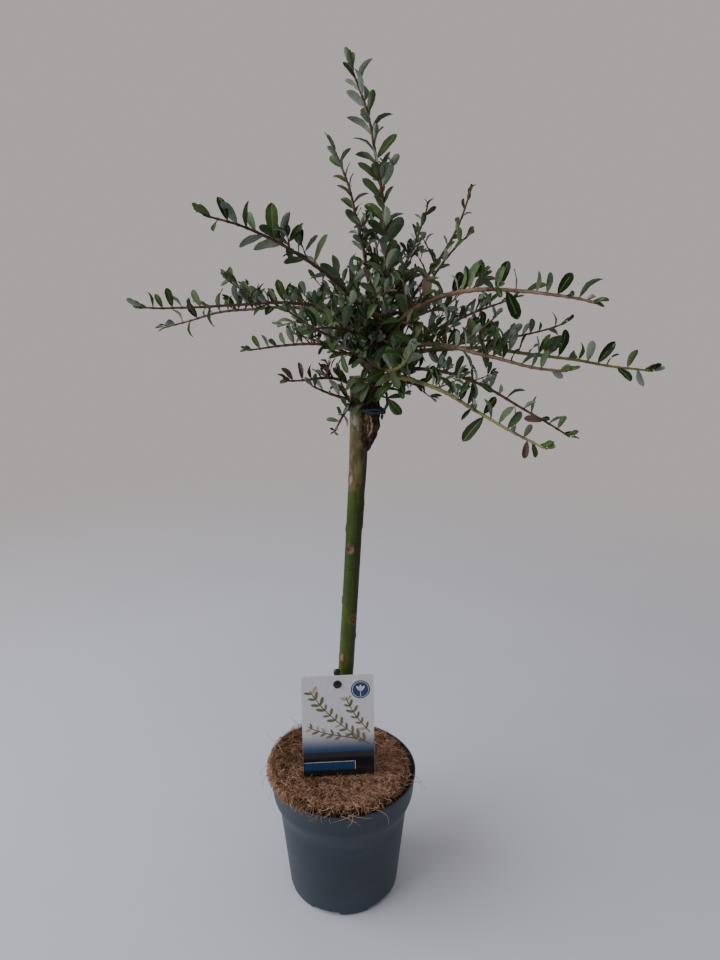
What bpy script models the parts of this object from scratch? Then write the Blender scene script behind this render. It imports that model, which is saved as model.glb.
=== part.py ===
"""A small weeping willow grafted on a short stem, growing in a round nursery pot.

Everything is in metres with +Z up. The origin is the middle of the pot's underside.
"""

import math
import random
from collections import namedtuple

import bmesh
import bpy
from mathutils import Matrix, Vector
from mathutils.bvhtree import BVHTree

MM = 0.001
GAP = 0.3 * MM
MERGE = 0.0001

# Pot
POT_HEIGHT = 136 * MM
POT_RIM_RADIUS = 75 * MM
POT_COLLAR_HEIGHT = 34 * MM
POT_COLLAR_FOOT_RADIUS = 70.5 * MM
POT_SHOULDER_RADIUS = 66.5 * MM
POT_SHOULDER_DROP = 5 * MM
POT_BASE_RADIUS = 57 * MM
POT_BASE_SPREAD = 0.5 * MM
POT_BASE_INSET = 1.5 * MM
POT_BASE_HEIGHT = 3 * MM
POT_LIP = 0.5 * MM
POT_WALL = 1.6 * MM
POT_FLOOR = 9 * MM
POT_FLOOR_SPREAD = 0.7 * MM
POT_SIDES = 48
POT_FEET = 6
POT_NOTCH_HEIGHT = 5 * MM
POT_NOTCH_DEPTH = 12 * MM
POT_NOTCH_WIDTH = 30 * MM
POT_NOTCH_TURN = 12
DRAIN_RADIUS = 4 * MM
DRAIN_SIDES = 8
DRAIN_INSET = 0.6 * POT_NOTCH_DEPTH
DRAIN_CUT = 4 * POT_FLOOR / 3

# Soil and coir disc
SOIL_LEVEL = 129.5 * MM
COIR_RADIUS = 72 * MM
COIR_THICKNESS = 8 * MM
COIR_CHAMFER = 2 * MM
COIR_SHIFT = -4.5 * MM
COIR_TILT = 4.0
COIR_UNDERSIDE = 134.8 * MM
COIR_HOLE_CLEARANCE = 0.9 * MM
COIR_HOLE_DEPTH = 20 * MM
CORNER_ANGLE = 1.0

# Trunk: height, sideways place and radius at each station
TRUNK_STATIONS = (
    (129.8, -6.2, 11.5),
    (136.0, -6.2, 9.6),
    (150.0, -5.0, 8.4),
    (190.0, -2.0, 7.9),
    (250.0, 3.6, 7.6),
    (340.0, 8.8, 7.4),
    (410.0, 12.6, 7.5),
    (455.0, 15.4, 8.0),
    (490.0, 16.6, 8.5),
    (515.0, 16.2, 7.8),
    (532.0, 15.4, 6.6),
    (541.0, 15.0, 5.2),
)
COIR_STATIONS = TRUNK_STATIONS[:5]
GRAFT_STATIONS = TRUNK_STATIONS[5:]
TRUNK_RESOLUTION = 4
SCION_RESOLUTION = 3

# Scion: the swollen callus on the side of the trunk and the crown's head above it
SCION_STATIONS = (
    (474.0, 22.4, 2.2),
    (484.0, 24.6, 6.2),
    (497.0, 26.4, 9.2),
    (508.0, 27.2, 8.2),
    (520.0, 28.2, 6.6),
    (540.0, 32.0, 6.2),
    (560.0, 36.2, 6.0),
    (578.0, 38.6, 5.2),
    (592.0, 40.2, 3.6),
)

# Tie wound once round the union
TIE_HEIGHT = 511 * MM
TIE_RADIUS = 0.8 * MM
TIE_CENTRE = 21.8 * MM
TIE_HALF_LENGTH = 15.3 * MM
TIE_HALF_WIDTH = 10.7 * MM
TIE_START = 10
TIE_END = 330
TIE_CLIMB = 2 * MM
TIE_TAIL_RISE = 15 * MM
TIE_TAIL_REACH = 7 * MM
TIE_TAIL_SWAY = -0.3 * TIE_TAIL_REACH
TIE_TAIL_SHARES = (0.4, 0.7, 1.0)
TIE_POINTS = 22

# Picture tag and its holder
TAG_WIDTH = 71 * MM
TAG_HEIGHT = 107 * MM
TAG_THICKNESS = 0.6 * MM
TAG_CORNER = 3 * MM
TAG_CORNER_STEPS = 4
TAG_PLACE = (-3.2, -27.0, 145.8)
TAG_LEAN = 6.0
TAG_TURN = 4.0
TAG_ROLL = -0.4
TAG_HOLE_RADIUS = 2.6 * MM
TAG_HOLE_DROP = 9 * MM
TAG_HOLE_CUT = 10 * TAG_THICKNESS
HOLDER_WIDTH = 6 * MM
HOLDER_THICKNESS = 2 * MM
HOLDER_OVER_TAG = 2 * MM
HOLDER_FOOT = 2.4 * MM
STUD_RADIUS = 4.2 * MM
STUD_THICKNESS = 1.4 * MM
KNOB_RADIUS = 3.6 * MM
KNOB_THICKNESS = 2 * HOLDER_THICKNESS
SHANK_LENGTH = 3 * TAG_THICKNESS
ROUND_SIDES = 16

# Shoots. Each row is a name, then the height of its foot on the head, its compass direction
# in degrees (0 is +X, 90 is +Y), its sideways reach, the height of its tip, its slope at the
# foot and at the tip, the share of it that is bare bough, its leaf length and its side twigs.
Shoot = namedtuple("Shoot", "name foot compass reach tip rise tip_rise bare leaf twigs")
SHOOTS = tuple(Shoot(*row) for row in (
    ("leader", 592.3, 172, 30, 786, 90, 66, 0.26, 17, 4),
    ("leader_left", 576, 152, 52, 735, 76, 60, 0.20, 13, 2),
    ("upper_left", 575, 210, 156, 670, 60, 12, 0.34, 24, 1),
    ("left_far", 563, 189, 202, 602, 78, 6, 0.30, 13, 2),
    ("left_long", 556, 166, 206, 579, 74, -18, 0.30, 14, 2),
    ("left_low", 548, 179, 114, 563, 60, -9, 0.26, 13, 2),
    ("left_twig_high", 560, 138, 130, 578, 68, -12, 0.0, 12, 2),
    ("left_twig_mid", 553, 218, 94, 601, 34, 34, 0.0, 12, 2),
    ("left_twig_low", 541, 158, 84, 577, 60, 22, 0.0, 11, 1),
    ("left_hook", 541, 243, 84, 572, 70, 16, 0.0, 14, 1),
    ("dead_twig", 533, 196, 62, 540, 40, 3, 0.0, 12, 1),
    ("up_right_1", 580, 62, 88, 688, 80, 63, 0.24, 14, 2),
    ("up_right_2", 570, 34, 95, 699, 60, 74, 0.24, 13, 2),
    ("up_right_3", 563, 12, 76, 659, 52, 36, 0.0, 13, 2),
    ("right_arch", 568, 318, 190, 609, 66, -12, 0.30, 16, 2),
    ("right_riser", 556, 30, 152, 606, 26, 14, 0.26, 13, 2),
    ("right_twig", 547, 12, 176, 585, 32, 22, 0.0, 12, 2),
    ("right_long", 556, 348, 226, 552, 20, -4, 0.28, 21, 1),
    ("right_mid", 549, 328, 166, 557, 58, 2, 0.24, 16, 2),
    ("right_low", 540, 340, 168, 499, 32, -30, 0.24, 16, 1),
    ("right_lowest", 537, 307, 190, 513, 20, -8, 0.22, 22, 1),
    ("front_shoot", 546, 284, 94, 575, 12, 46, 0.0, 19, 1),
    ("low_left_high", 521, 205, 44, 536, 10, 30, 0.0, 13, 0),
    ("low_left_low", 519, 236, 36, 498, -10, -40, 0.0, 9, 0),
    ("right_tuft", 529, 4, 26, 525, 20, -50, 0.0, 13, 0),
    ("back_high", 584, 100, 64, 676, 80, 50, 0.0, 14, 2),
    ("back_arch", 572, 84, 148, 640, 70, 4, 0.26, 15, 2),
    ("back_long", 563, 112, 184, 596, 60, -12, 0.26, 14, 2),
    ("back_right", 560, 58, 176, 584, 46, -12, 0.24, 15, 2),
    ("back_low", 545, 90, 142, 552, 34, -20, 0.0, 14, 2),
    ("back_twig", 548, 120, 96, 590, 50, 10, 0.0, 12, 2),
    ("front_high", 570, 262, 92, 624, 62, 14, 0.0, 14, 2),
    ("front_left", 558, 236, 104, 588, 50, -4, 0.0, 14, 2),
))
DEAD_SHOOT = "dead_twig"
SHOOT_POINTS = 24
BOUGH_FOOT_RADIUS = 2.3 * MM
BOUGH_TIP_RADIUS = 1.5 * MM
STEM_FOOT_RADIUS = 1.45 * MM
STEM_TIP_RADIUS = 0.6 * MM
STEM_STEP = 15 * MM
STUB_SIDE = -0.3
ROOT_DEPTH = 1.0 * MM
LEVEL_LIMIT = 0.1

# Side twigs stand along this stretch of a stem, lean out between its direction, its side and
# its upper face, and are a share of its length that shrinks towards the tip.
TWIG_RADIUS = 0.75 * MM
TWIG_TIP_RADIUS = 0.8 * STEM_TIP_RADIUS
TWIG_ROOT = 0.4 * TWIG_RADIUS
TWIG_FIRST = 0.12
TWIG_STRETCH = 0.62
TWIG_STRAY = 0.6
TWIG_FORWARD = 0.75
TWIG_SIDEWAYS = 0.7
TWIG_LIFT = (0.1, 0.9)
TWIG_LENGTH_SHARE = 0.34
TWIG_LENGTH_END = 1.15
TWIG_LONGEST = 55 * MM
TWIG_STEPS = 3
TWIG_BEND = 0.12
TWIG_LEAF_SHARE = 0.8

# Leaves
FEWEST_LEAVES = 3
FIRST_LEAF = 0.6
LAST_LEAF_SHARE = 0.985
LEAF_SIZES = (0.85, 1.15)
LEAF_TIP_SHRINK = 0.4
LEAF_SPREAD_STRAY = (-10, 14)
LEAF_TIP_CLOSE = 20
LEAF_WIDEST_SHIFT = 0.06
LEAF_STEP_SHARE = 0.8
LEAF_GROWTH = 1.2
LEAF_WIDTH_SHARE = 0.42
LEAF_THICKNESS_SHARE = 0.06
LEAF_SPIRAL = 137.5
LEAF_SPREAD = 48
LEAF_LIFT = 0.3
LEAF_CUP = 0.04
FACE_FORWARD = 0.6
FACE_UP = 0.8
LEAF_ROOT_SHARE = 0.5
CLEARANCE_SCALE = 1.12
SEED = 7


def clear_scene():
    for obj in list(bpy.data.objects):
        bpy.data.objects.remove(obj, do_unlink=True)


def new_collection(name):
    collection = bpy.data.collections.new(name)
    bpy.context.scene.collection.children.link(collection)
    return collection


def material(name, colour, roughness):
    mat = bpy.data.materials.new(name)
    mat.use_nodes = True
    shader = mat.node_tree.nodes["Principled BSDF"]
    shader.inputs["Base Color"].default_value = (*colour, 1.0)
    shader.inputs["Roughness"].default_value = roughness
    return mat


def add_object(name, data, collection, mat=None):
    obj = bpy.data.objects.new(name, data)
    collection.objects.link(obj)
    if mat:
        data.materials.append(mat)
    return obj


def from_bmesh(name, bm, collection, mat=None):
    mesh = bpy.data.meshes.new(name)
    bm.to_mesh(mesh)
    bm.free()
    return add_object(name, mesh, collection, mat)


def round_off(mesh, angle=40):
    mesh.shade_smooth()
    mesh.set_sharp_from_angle(angle=math.radians(angle))


def turned(name, profile, collection, mat, sides=POT_SIDES):
    """A solid of revolution from (radius, height) pairs, first down the outer side."""
    mesh = bpy.data.meshes.new(name)
    edges = [(i, i + 1) for i in range(len(profile) - 1)]
    mesh.from_pydata([(r, 0, z) for r, z in profile], edges, [])
    obj = add_object(name, mesh, collection, mat)
    screw = obj.modifiers.new("Turn", "SCREW")
    screw.steps = sides
    screw.render_steps = sides
    screw.use_merge_vertices = True
    screw.merge_threshold = MERGE
    return obj


def evaluated_mesh(obj):
    graph = bpy.context.evaluated_depsgraph_get()
    return bpy.data.meshes.new_from_object(obj.evaluated_get(graph))


def swap_mesh(obj, mesh, name):
    """Put an object that holds the mesh in another's place, under the name given."""
    collection = obj.users_collection[0]
    place = obj.matrix_world.copy()
    bpy.data.objects.remove(obj, do_unlink=True)
    mesh.name = name
    made = bpy.data.objects.new(name, mesh)
    made.matrix_world = place
    collection.objects.link(made)
    return made


def as_mesh(obj):
    """Turn a curve into a mesh whose caps are welded on."""
    mesh = evaluated_mesh(obj)
    bm = bmesh.new()
    bm.from_mesh(mesh)
    bmesh.ops.remove_doubles(bm, verts=bm.verts, dist=MERGE / 10)
    bmesh.ops.recalc_face_normals(bm, faces=bm.faces)
    bm.to_mesh(mesh)
    bm.free()
    return swap_mesh(obj, mesh, obj.name)


def tube(name, points, radii, collection, mat=None, resolution=4, profile=None):
    """A tapering limb: a curve through the points, with a radius at each."""
    curve = bpy.data.curves.new(name, "CURVE")
    curve.dimensions = "3D"
    curve.use_fill_caps = True
    if profile:
        curve.bevel_mode = "OBJECT"
        curve.bevel_object = profile
    else:
        curve.bevel_depth = 1.0
        curve.bevel_resolution = resolution
    spline = curve.splines.new("POLY")
    spline.points.add(len(points) - 1)
    for point, place, radius in zip(spline.points, points, radii):
        point.co = (*place, 1.0)
        point.radius = radius
    return add_object(name, curve, collection, mat)


def boolean(obj, cutter, operation="DIFFERENCE"):
    mod = obj.modifiers.new(operation.title(), "BOOLEAN")
    mod.operation = operation
    mod.object = cutter
    return mod


def hide_cutter(obj):
    obj.hide_render = True
    obj.display_type = "WIRE"


def stations_path(stations, extra=0.0):
    points = [Vector((x, 0, z)) * MM for z, x, radius in stations]
    radii = [radius * MM + extra for z, x, radius in stations]
    return points, radii


def station_at(stations, height):
    """Centre and radius of a stem at a height in millimetres, between its stations."""
    for low, high in zip(stations, stations[1:]):
        if height <= high[0]:
            share = (height - low[0]) / (high[0] - low[0])
            x = low[1] + share * (high[1] - low[1])
            radius = low[2] + share * (high[2] - low[2])
            return Vector((x, 0, height)) * MM, radius * MM
    z, x, radius = stations[-1]
    return Vector((x, 0, z)) * MM, radius * MM


def make_pot(parts, cutters):
    """A thin pot with a deep collar, standing on feet between raised drain notches."""
    shoulder = POT_HEIGHT - POT_COLLAR_HEIGHT
    neck = shoulder - POT_SHOULDER_DROP
    profile = (
        (0.0, POT_FLOOR),
        (POT_BASE_RADIUS - POT_WALL + POT_FLOOR_SPREAD, POT_FLOOR),
        (POT_SHOULDER_RADIUS - POT_WALL, neck),
        (POT_COLLAR_FOOT_RADIUS - POT_WALL, shoulder),
        (POT_RIM_RADIUS - POT_WALL, POT_HEIGHT - POT_LIP),
        (POT_RIM_RADIUS - POT_WALL + POT_LIP, POT_HEIGHT),
        (POT_RIM_RADIUS - POT_LIP, POT_HEIGHT),
        (POT_RIM_RADIUS, POT_HEIGHT - POT_LIP),
        (POT_COLLAR_FOOT_RADIUS, shoulder),
        (POT_SHOULDER_RADIUS, neck),
        (POT_BASE_RADIUS + POT_BASE_SPREAD, POT_BASE_HEIGHT),
        (POT_BASE_RADIUS - POT_BASE_INSET, 0.0),
        (0.0, 0.0),
    )
    grey = material("pot_grey", (0.045, 0.058, 0.068), 0.45)
    pot = turned("pot", profile, parts, grey)
    for index in range(POT_FEET):
        angle = math.radians(POT_NOTCH_TURN + index * 360 / POT_FEET)
        turn = Matrix.Rotation(angle, 4, "Z")
        place = Matrix.Translation((POT_BASE_RADIUS, 0, 0))
        size = Matrix.Diagonal((2 * POT_NOTCH_DEPTH, POT_NOTCH_WIDTH, 2 * POT_NOTCH_HEIGHT, 1))
        bm = bmesh.new()
        bmesh.ops.create_cube(bm, size=1.0, matrix=turn @ place @ size)
        notch = from_bmesh(f"pot_notch_{index}", bm, cutters)
        hide_cutter(notch)
        boolean(pot, notch)
        bm = bmesh.new()
        centre = Matrix.Translation((POT_BASE_RADIUS - DRAIN_INSET, 0, POT_FLOOR))
        bmesh.ops.create_cone(bm, cap_ends=True, segments=DRAIN_SIDES, radius1=DRAIN_RADIUS,
                              radius2=DRAIN_RADIUS, depth=DRAIN_CUT, matrix=turn @ centre)
        drain = from_bmesh(f"pot_drain_{index}", bm, cutters)
        hide_cutter(drain)
        boolean(pot, drain)
    return pot


def make_soil(parts):
    """The potting soil fills the pot to just under its rim."""
    shoulder = POT_HEIGHT - POT_COLLAR_HEIGHT
    neck = shoulder - POT_SHOULDER_DROP
    inset = POT_WALL + GAP
    slope = (POT_RIM_RADIUS - POT_COLLAR_FOOT_RADIUS) / POT_COLLAR_HEIGHT
    top_radius = POT_COLLAR_FOOT_RADIUS - inset - GAP + slope * (SOIL_LEVEL - shoulder)
    profile = (
        (0.0, SOIL_LEVEL),
        (top_radius, SOIL_LEVEL),
        (POT_COLLAR_FOOT_RADIUS - inset - GAP, shoulder),
        (POT_SHOULDER_RADIUS - inset - GAP, neck),
        (POT_BASE_RADIUS - inset, POT_FLOOR + GAP),
        (0.0, POT_FLOOR + GAP),
    )
    return turned("soil", profile, parts, material("soil_dark", (0.03, 0.02, 0.014), 0.95))


def make_coir(parts, cutters):
    """A tilted coir disc: one side lies on the rim and the other sinks inside it."""
    bm = bmesh.new()
    bmesh.ops.create_cone(bm, cap_ends=True, segments=POT_SIDES, radius1=COIR_RADIUS,
                          radius2=COIR_RADIUS, depth=COIR_THICKNESS)
    rims = [e for e in bm.edges if e.calc_face_angle() > CORNER_ANGLE]
    bmesh.ops.bevel(bm, geom=rims, offset=COIR_CHAMFER, segments=1, affect="EDGES",
                    profile=0.5, material=-1)
    disc = from_bmesh("coir_disc", bm, parts, material("coir_brown", (0.22, 0.12, 0.065), 0.95))
    disc.location = (COIR_SHIFT, 0, COIR_UNDERSIDE + COIR_THICKNESS / 2)
    disc.rotation_euler = (0, math.radians(COIR_TILT), 0)
    points, radii = stations_path(COIR_STATIONS, COIR_HOLE_CLEARANCE)
    points[0] = points[0] - Vector((0, 0, COIR_HOLE_DEPTH))
    hole = as_mesh(tube("coir_hole", points, radii, cutters))
    hide_cutter(hole)
    boolean(disc, hole)
    return disc


def make_trunk(parts):
    """The rootstock stem leans, tapers and ends in a cut stub beside the scion."""
    points, radii = stations_path(TRUNK_STATIONS)
    green = material("bark_green", (0.10, 0.14, 0.03), 0.55)
    trunk = tube("trunk", points, radii, parts, green, TRUNK_RESOLUTION)
    return as_mesh(trunk)


def make_scion(parts, cutters):
    """The callus grown on the trunk's side, and the head that the shoots spring from."""
    points, radii = stations_path(SCION_STATIONS)
    brown = material("bark_callus", (0.09, 0.055, 0.035), 0.8)
    scion = as_mesh(tube("scion", points, radii, parts, brown, SCION_RESOLUTION))
    scion.data.materials.append(brown)
    points, radii = stations_path(GRAFT_STATIONS, GAP)
    points[-1] = points[-1] + Vector((0, 0, GAP))
    trunk_clearance = as_mesh(tube("trunk_clearance", points, radii, cutters, None,
                                   TRUNK_RESOLUTION))
    hide_cutter(trunk_clearance)
    boolean(scion, trunk_clearance)
    points, radii = stations_path(SCION_STATIONS, GAP)
    points[-1] = points[-1] + Vector((0, 0, GAP / 2))
    scion_clearance = as_mesh(tube("scion_clearance", points, radii, cutters, None,
                                   SCION_RESOLUTION))
    hide_cutter(scion_clearance)
    return scion, (trunk_clearance, scion_clearance)


def make_tie(parts):
    """A soft blue tie wound round both stems, with a loose tail."""
    points = []
    for index in range(TIE_POINTS):
        share = index / (TIE_POINTS - 1)
        angle = math.radians(TIE_START + (TIE_END - TIE_START) * share)
        x = TIE_CENTRE + TIE_HALF_LENGTH * math.cos(angle)
        y = TIE_HALF_WIDTH * math.sin(angle)
        points.append(Vector((x, y, TIE_HEIGHT + TIE_CLIMB * share)))
    last = points[-1]
    for share in TIE_TAIL_SHARES:
        points.append(last + Vector((TIE_TAIL_REACH, TIE_TAIL_SWAY, TIE_TAIL_RISE)) * share)
    radii = [TIE_RADIUS] * len(points)
    blue = material("tie_blue", (0.02, 0.06, 0.16), 0.6)
    return tube("graft_tie", points, radii, parts, blue, 1)


def tag_matrix():
    """The tag's own frame: X along its foot, Z up its height, -Y towards the viewer."""
    turn = Matrix.Rotation(math.radians(TAG_TURN), 4, "Z")
    lean = Matrix.Rotation(math.radians(-TAG_LEAN), 4, "X")
    roll = Matrix.Rotation(math.radians(TAG_ROLL), 4, "Y")
    return Matrix.Translation(Vector(TAG_PLACE) * MM) @ turn @ lean @ roll


def make_tag(parts, cutters):
    """A thin plastic tag with rounded corners and a hole near its top edge."""
    bm = bmesh.new()
    size = Matrix.Diagonal((TAG_WIDTH, TAG_THICKNESS, TAG_HEIGHT, 1))
    bmesh.ops.create_cube(bm, size=1.0,
                          matrix=Matrix.Translation((0, 0, TAG_HEIGHT / 2)) @ size)
    corners = [e for e in bm.edges if abs(e.verts[0].co.y - e.verts[1].co.y) > MERGE]
    bmesh.ops.bevel(bm, geom=corners, offset=TAG_CORNER, segments=TAG_CORNER_STEPS,
                    affect="EDGES", profile=0.5, material=-1)
    tag = from_bmesh("tag", bm, parts, material("tag_white", (0.62, 0.63, 0.66), 0.35))
    tag.matrix_world = tag_matrix()
    bm = bmesh.new()
    place = Matrix.Translation((0, 0, TAG_HEIGHT - TAG_HOLE_DROP))
    quarter = Matrix.Rotation(math.pi / 2, 4, "X")
    bmesh.ops.create_cone(bm, cap_ends=True, segments=ROUND_SIDES, radius1=TAG_HOLE_RADIUS,
                          radius2=TAG_HOLE_RADIUS, depth=TAG_HOLE_CUT, matrix=place @ quarter)
    hole = from_bmesh("tag_hole", bm, cutters)
    hole.matrix_world = tag_matrix()
    hide_cutter(hole)
    boolean(tag, hole)
    return tag


def make_holder(parts, cutters):
    """A black stake behind the tag, with a stud through its hole and a knob above it."""
    behind = TAG_THICKNESS / 2 + GAP
    height = TAG_HEIGHT + HOLDER_OVER_TAG
    black = material("holder_black", (0.012, 0.012, 0.014), 0.4)
    bm = bmesh.new()
    size = Matrix.Diagonal((HOLDER_WIDTH, HOLDER_THICKNESS, height + HOLDER_FOOT, 1))
    place = Matrix.Translation((0, behind + HOLDER_THICKNESS / 2, (height - HOLDER_FOOT) / 2))
    bmesh.ops.create_cube(bm, size=1.0, matrix=place @ size)
    holder = from_bmesh("tag_holder", bm, parts, black)
    holder.matrix_world = tag_matrix()
    quarter = Matrix.Rotation(math.pi / 2, 4, "X")
    stud_height = TAG_HEIGHT - TAG_HOLE_DROP
    pieces = (
        ("holder_shank", TAG_HOLE_RADIUS - GAP, SHANK_LENGTH, 0.0, stud_height),
        ("holder_stud", STUD_RADIUS, STUD_THICKNESS, -behind - STUD_THICKNESS / 2, stud_height),
        ("holder_knob", KNOB_RADIUS, KNOB_THICKNESS, behind + HOLDER_THICKNESS, height),
    )
    for name, radius, depth, y, z in pieces:
        bm = bmesh.new()
        bmesh.ops.create_cone(bm, cap_ends=True, segments=ROUND_SIDES, radius1=radius,
                              radius2=radius, depth=depth,
                              matrix=Matrix.Translation((0, y, z)) @ quarter)
        piece = from_bmesh(name, bm, cutters)
        piece.matrix_world = tag_matrix()
        hide_cutter(piece)
        boolean(holder, piece, "UNION")
    return holder


def shoot_path(shoot):
    """Points along a shoot: a cubic arc in its own upright plane, from foot to tip."""
    compass, slope, tip_slope = (math.radians(angle) for angle in
                                 (shoot.compass, shoot.rise, shoot.tip_rise))
    heading = Vector((math.cos(compass), math.sin(compass), 0))
    from_stub = shoot.foot < TRUNK_STATIONS[-1][0] and heading.x < STUB_SIDE
    axis, radius = station_at(TRUNK_STATIONS if from_stub else SCION_STATIONS, shoot.foot)
    up = Vector((0, 0, 1))
    half_width = BOUGH_FOOT_RADIUS if shoot.bare else STEM_FOOT_RADIUS
    start = axis + heading * (radius - ROOT_DEPTH + half_width * math.sin(abs(slope)))
    if shoot.foot > SCION_STATIONS[-1][0]:
        start = Vector((axis.x, 0, shoot.foot * MM))
    end = Vector((axis.x, 0, shoot.tip * MM)) + heading * shoot.reach * MM
    pull = (end - start).length / 3
    first = start + (heading * math.cos(slope) + up * math.sin(slope)) * pull
    second = end - (heading * math.cos(tip_slope) + up * math.sin(tip_slope)) * pull
    points = []
    for index in range(SHOOT_POINTS + 1):
        t = index / SHOOT_POINTS
        s = 1 - t
        points.append(start * s**3 + first * (3 * s * s * t) + second * (3 * s * t * t)
                      + end * t**3)
    return points


def path_length(points):
    return sum((b - a).length for a, b in zip(points, points[1:]))


def along(points, share):
    """Place and direction at a share of a path's length."""
    goal = share * path_length(points)
    for a, b in zip(points, points[1:]):
        step = (b - a).length
        if goal <= step or b is points[-1]:
            return a.lerp(b, min(goal / step, 1.0)), (b - a).normalized()
        goal -= step


def part_of(points, start, end, step):
    """Evenly spaced points along a stretch of a path."""
    length = (end - start) * path_length(points)
    count = max(3, round(length / step))
    return [along(points, start + (end - start) * i / count)[0] for i in range(count + 1)]


def taper(count, first, last):
    return [first + (last - first) * i / (count - 1) for i in range(count)]


def side_axes(direction):
    """Two unit vectors square to a direction, the first as level as it can be."""
    up = Vector((0, 0, 1))
    level = direction.cross(up)
    if level.length < LEVEL_LIMIT:
        level = direction.cross(Vector((0, 1, 0)))
    level.normalize()
    return level, level.cross(direction).normalized()


def leaf_frame(place, direction, turn, spread, root):
    """A leaf's matrix: Z runs along it and Y is its upper face."""
    level, upper = side_axes(direction)
    outward = level * math.cos(turn) + upper * math.sin(turn)
    along_leaf = direction * math.cos(spread) + outward * math.sin(spread)
    along_leaf = (along_leaf + Vector((0, 0, LEAF_LIFT))).normalized()
    face = direction * FACE_FORWARD + Vector((0, 0, FACE_UP))
    face = (face - along_leaf * face.dot(along_leaf)).normalized()
    across = face.cross(along_leaf).normalized()
    matrix = Matrix((across, face, along_leaf)).transposed().to_4x4()
    matrix.translation = place - along_leaf * root
    return matrix


def leaf_bmesh(length, matrix):
    """A pointed oval leaf of eight faces, widest past its middle and slightly cupped."""
    bm = bmesh.new()
    bmesh.ops.create_uvsphere(bm, u_segments=4, v_segments=2, radius=1.0)
    for vert in bm.verts:
        x, y, z = vert.co
        rim = abs(x)
        vert.co = Vector((x * length * LEAF_WIDTH_SHARE / 2,
                          y * length * LEAF_THICKNESS_SHARE / 2 + rim * length * LEAF_CUP,
                          (0.5 + 0.5 * z + LEAF_WIDEST_SHIFT * rim) * length))
    bmesh.ops.transform(bm, matrix=matrix, verts=bm.verts)
    return bm


def tree_of(bm, scale=1.0):
    """A search tree of a shape, grown a little about its middle for clearance."""
    centre = sum((v.co for v in bm.verts), Vector()) / len(bm.verts)
    places = [centre + (v.co - centre) * scale for v in bm.verts]
    return BVHTree.FromPolygons(places, [[v.index for v in f.verts] for f in bm.faces])


def object_tree(obj):
    graph = bpy.context.evaluated_depsgraph_get()
    mesh = obj.evaluated_get(graph).to_mesh()
    bm = bmesh.new()
    bm.from_mesh(mesh)
    bm.transform(obj.matrix_world)
    bm.verts.index_update()
    tree = tree_of(bm)
    bm.free()
    return tree


def touches(tree, owner, trees):
    return any(name != owner and tree.overlap(other) for name, other in trees)


def cut_clear(obj, clearances):
    """Trim a shoot's foot so that it meets the stem with the usual gap."""
    name = obj.name
    for clearance in clearances:
        boolean(obj, clearance)
    return swap_mesh(obj, evaluated_mesh(obj), name)


def join_mass(name, objects, parts, mat):
    """Fuse a stem with its twigs and leaves by one Boolean union on a collection."""
    stem = objects[0]
    pieces = new_collection(name + "_pieces")
    for obj in objects[1:]:
        for holder in obj.users_collection:
            holder.objects.unlink(obj)
        pieces.objects.link(obj)
    if len(objects) > 1:
        mod = stem.modifiers.new("Join", "BOOLEAN")
        mod.operation = "UNION"
        mod.operand_type = "COLLECTION"
        mod.collection = pieces
        mod.solver = "MANIFOLD"
    mesh = evaluated_mesh(stem)
    mesh.materials.clear()
    mesh.materials.append(mat)
    drop_scraps(mesh)
    mass = swap_mesh(stem, mesh, name)
    for obj in list(pieces.objects):
        bpy.data.objects.remove(obj, do_unlink=True)
    bpy.data.collections.remove(pieces)
    return mass


def drop_scraps(mesh):
    """Keep only the largest connected piece of a mesh."""
    bm = bmesh.new()
    bm.from_mesh(mesh)
    left = set(bm.verts)
    groups = []
    while left:
        stack = [left.pop()]
        group = set(stack)
        while stack:
            for edge in stack.pop().link_edges:
                for vert in edge.verts:
                    if vert in left:
                        left.discard(vert)
                        group.add(vert)
                        stack.append(vert)
        groups.append(group)
    groups.sort(key=len)
    for group in groups[:-1]:
        bmesh.ops.delete(bm, geom=list(group), context="VERTS")
    bm.to_mesh(mesh)
    bm.free()


def twig_profile(cutters):
    """A triangle of radius one, the section of every stem and side twig."""
    curve = bpy.data.curves.new("twig_profile", "CURVE")
    spline = curve.splines.new("POLY")
    spline.points.add(2)
    for index, point in enumerate(spline.points):
        angle = math.radians(120 * index)
        point.co = (math.cos(angle), math.sin(angle), 0, 1)
    spline.use_cyclic_u = True
    profile = add_object("twig_profile", curve, cutters)
    hide_cutter(profile)
    return profile


class Mass:
    """The stem of one shoot with the twigs and leaves that are to be fused with it."""

    def __init__(self, number, shoot, stem, points):
        self.number = number
        self.shoot = shoot
        self.name = "mass_" + shoot.name
        self.objects = [stem]
        self.runs = [(points, shoot.leaf * MM)]


def grow_stem(number, shoot, parts, profile, brown, clearances, trees):
    """The bare bough of a shoot, if it has one, and the stem that goes on from it."""
    path = shoot_path(shoot)
    start = shoot.bare
    if shoot.bare:
        limb = part_of(path, 0.0, shoot.bare, STEM_STEP / 2)
        radii = taper(len(limb), BOUGH_FOOT_RADIUS, BOUGH_TIP_RADIUS)
        bough = as_mesh(tube("bough_" + shoot.name, limb, radii, parts, None, 1))
        bough = cut_clear(bough, clearances)
        bough.data.materials.append(brown)
        trees.append((bough.name, object_tree(bough)))
        start = shoot.bare + GAP / path_length(path)
    points = part_of(path, start, 1.0, STEM_STEP)
    radii = taper(len(points), STEM_FOOT_RADIUS, STEM_TIP_RADIUS)
    stem = as_mesh(tube("stem_" + shoot.name, points, radii, parts, None, 0, profile))
    if not shoot.bare:
        stem = cut_clear(stem, clearances)
    mass = Mass(number, shoot, stem, points)
    trees.append((mass.name, object_tree(stem)))
    return mass


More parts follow.
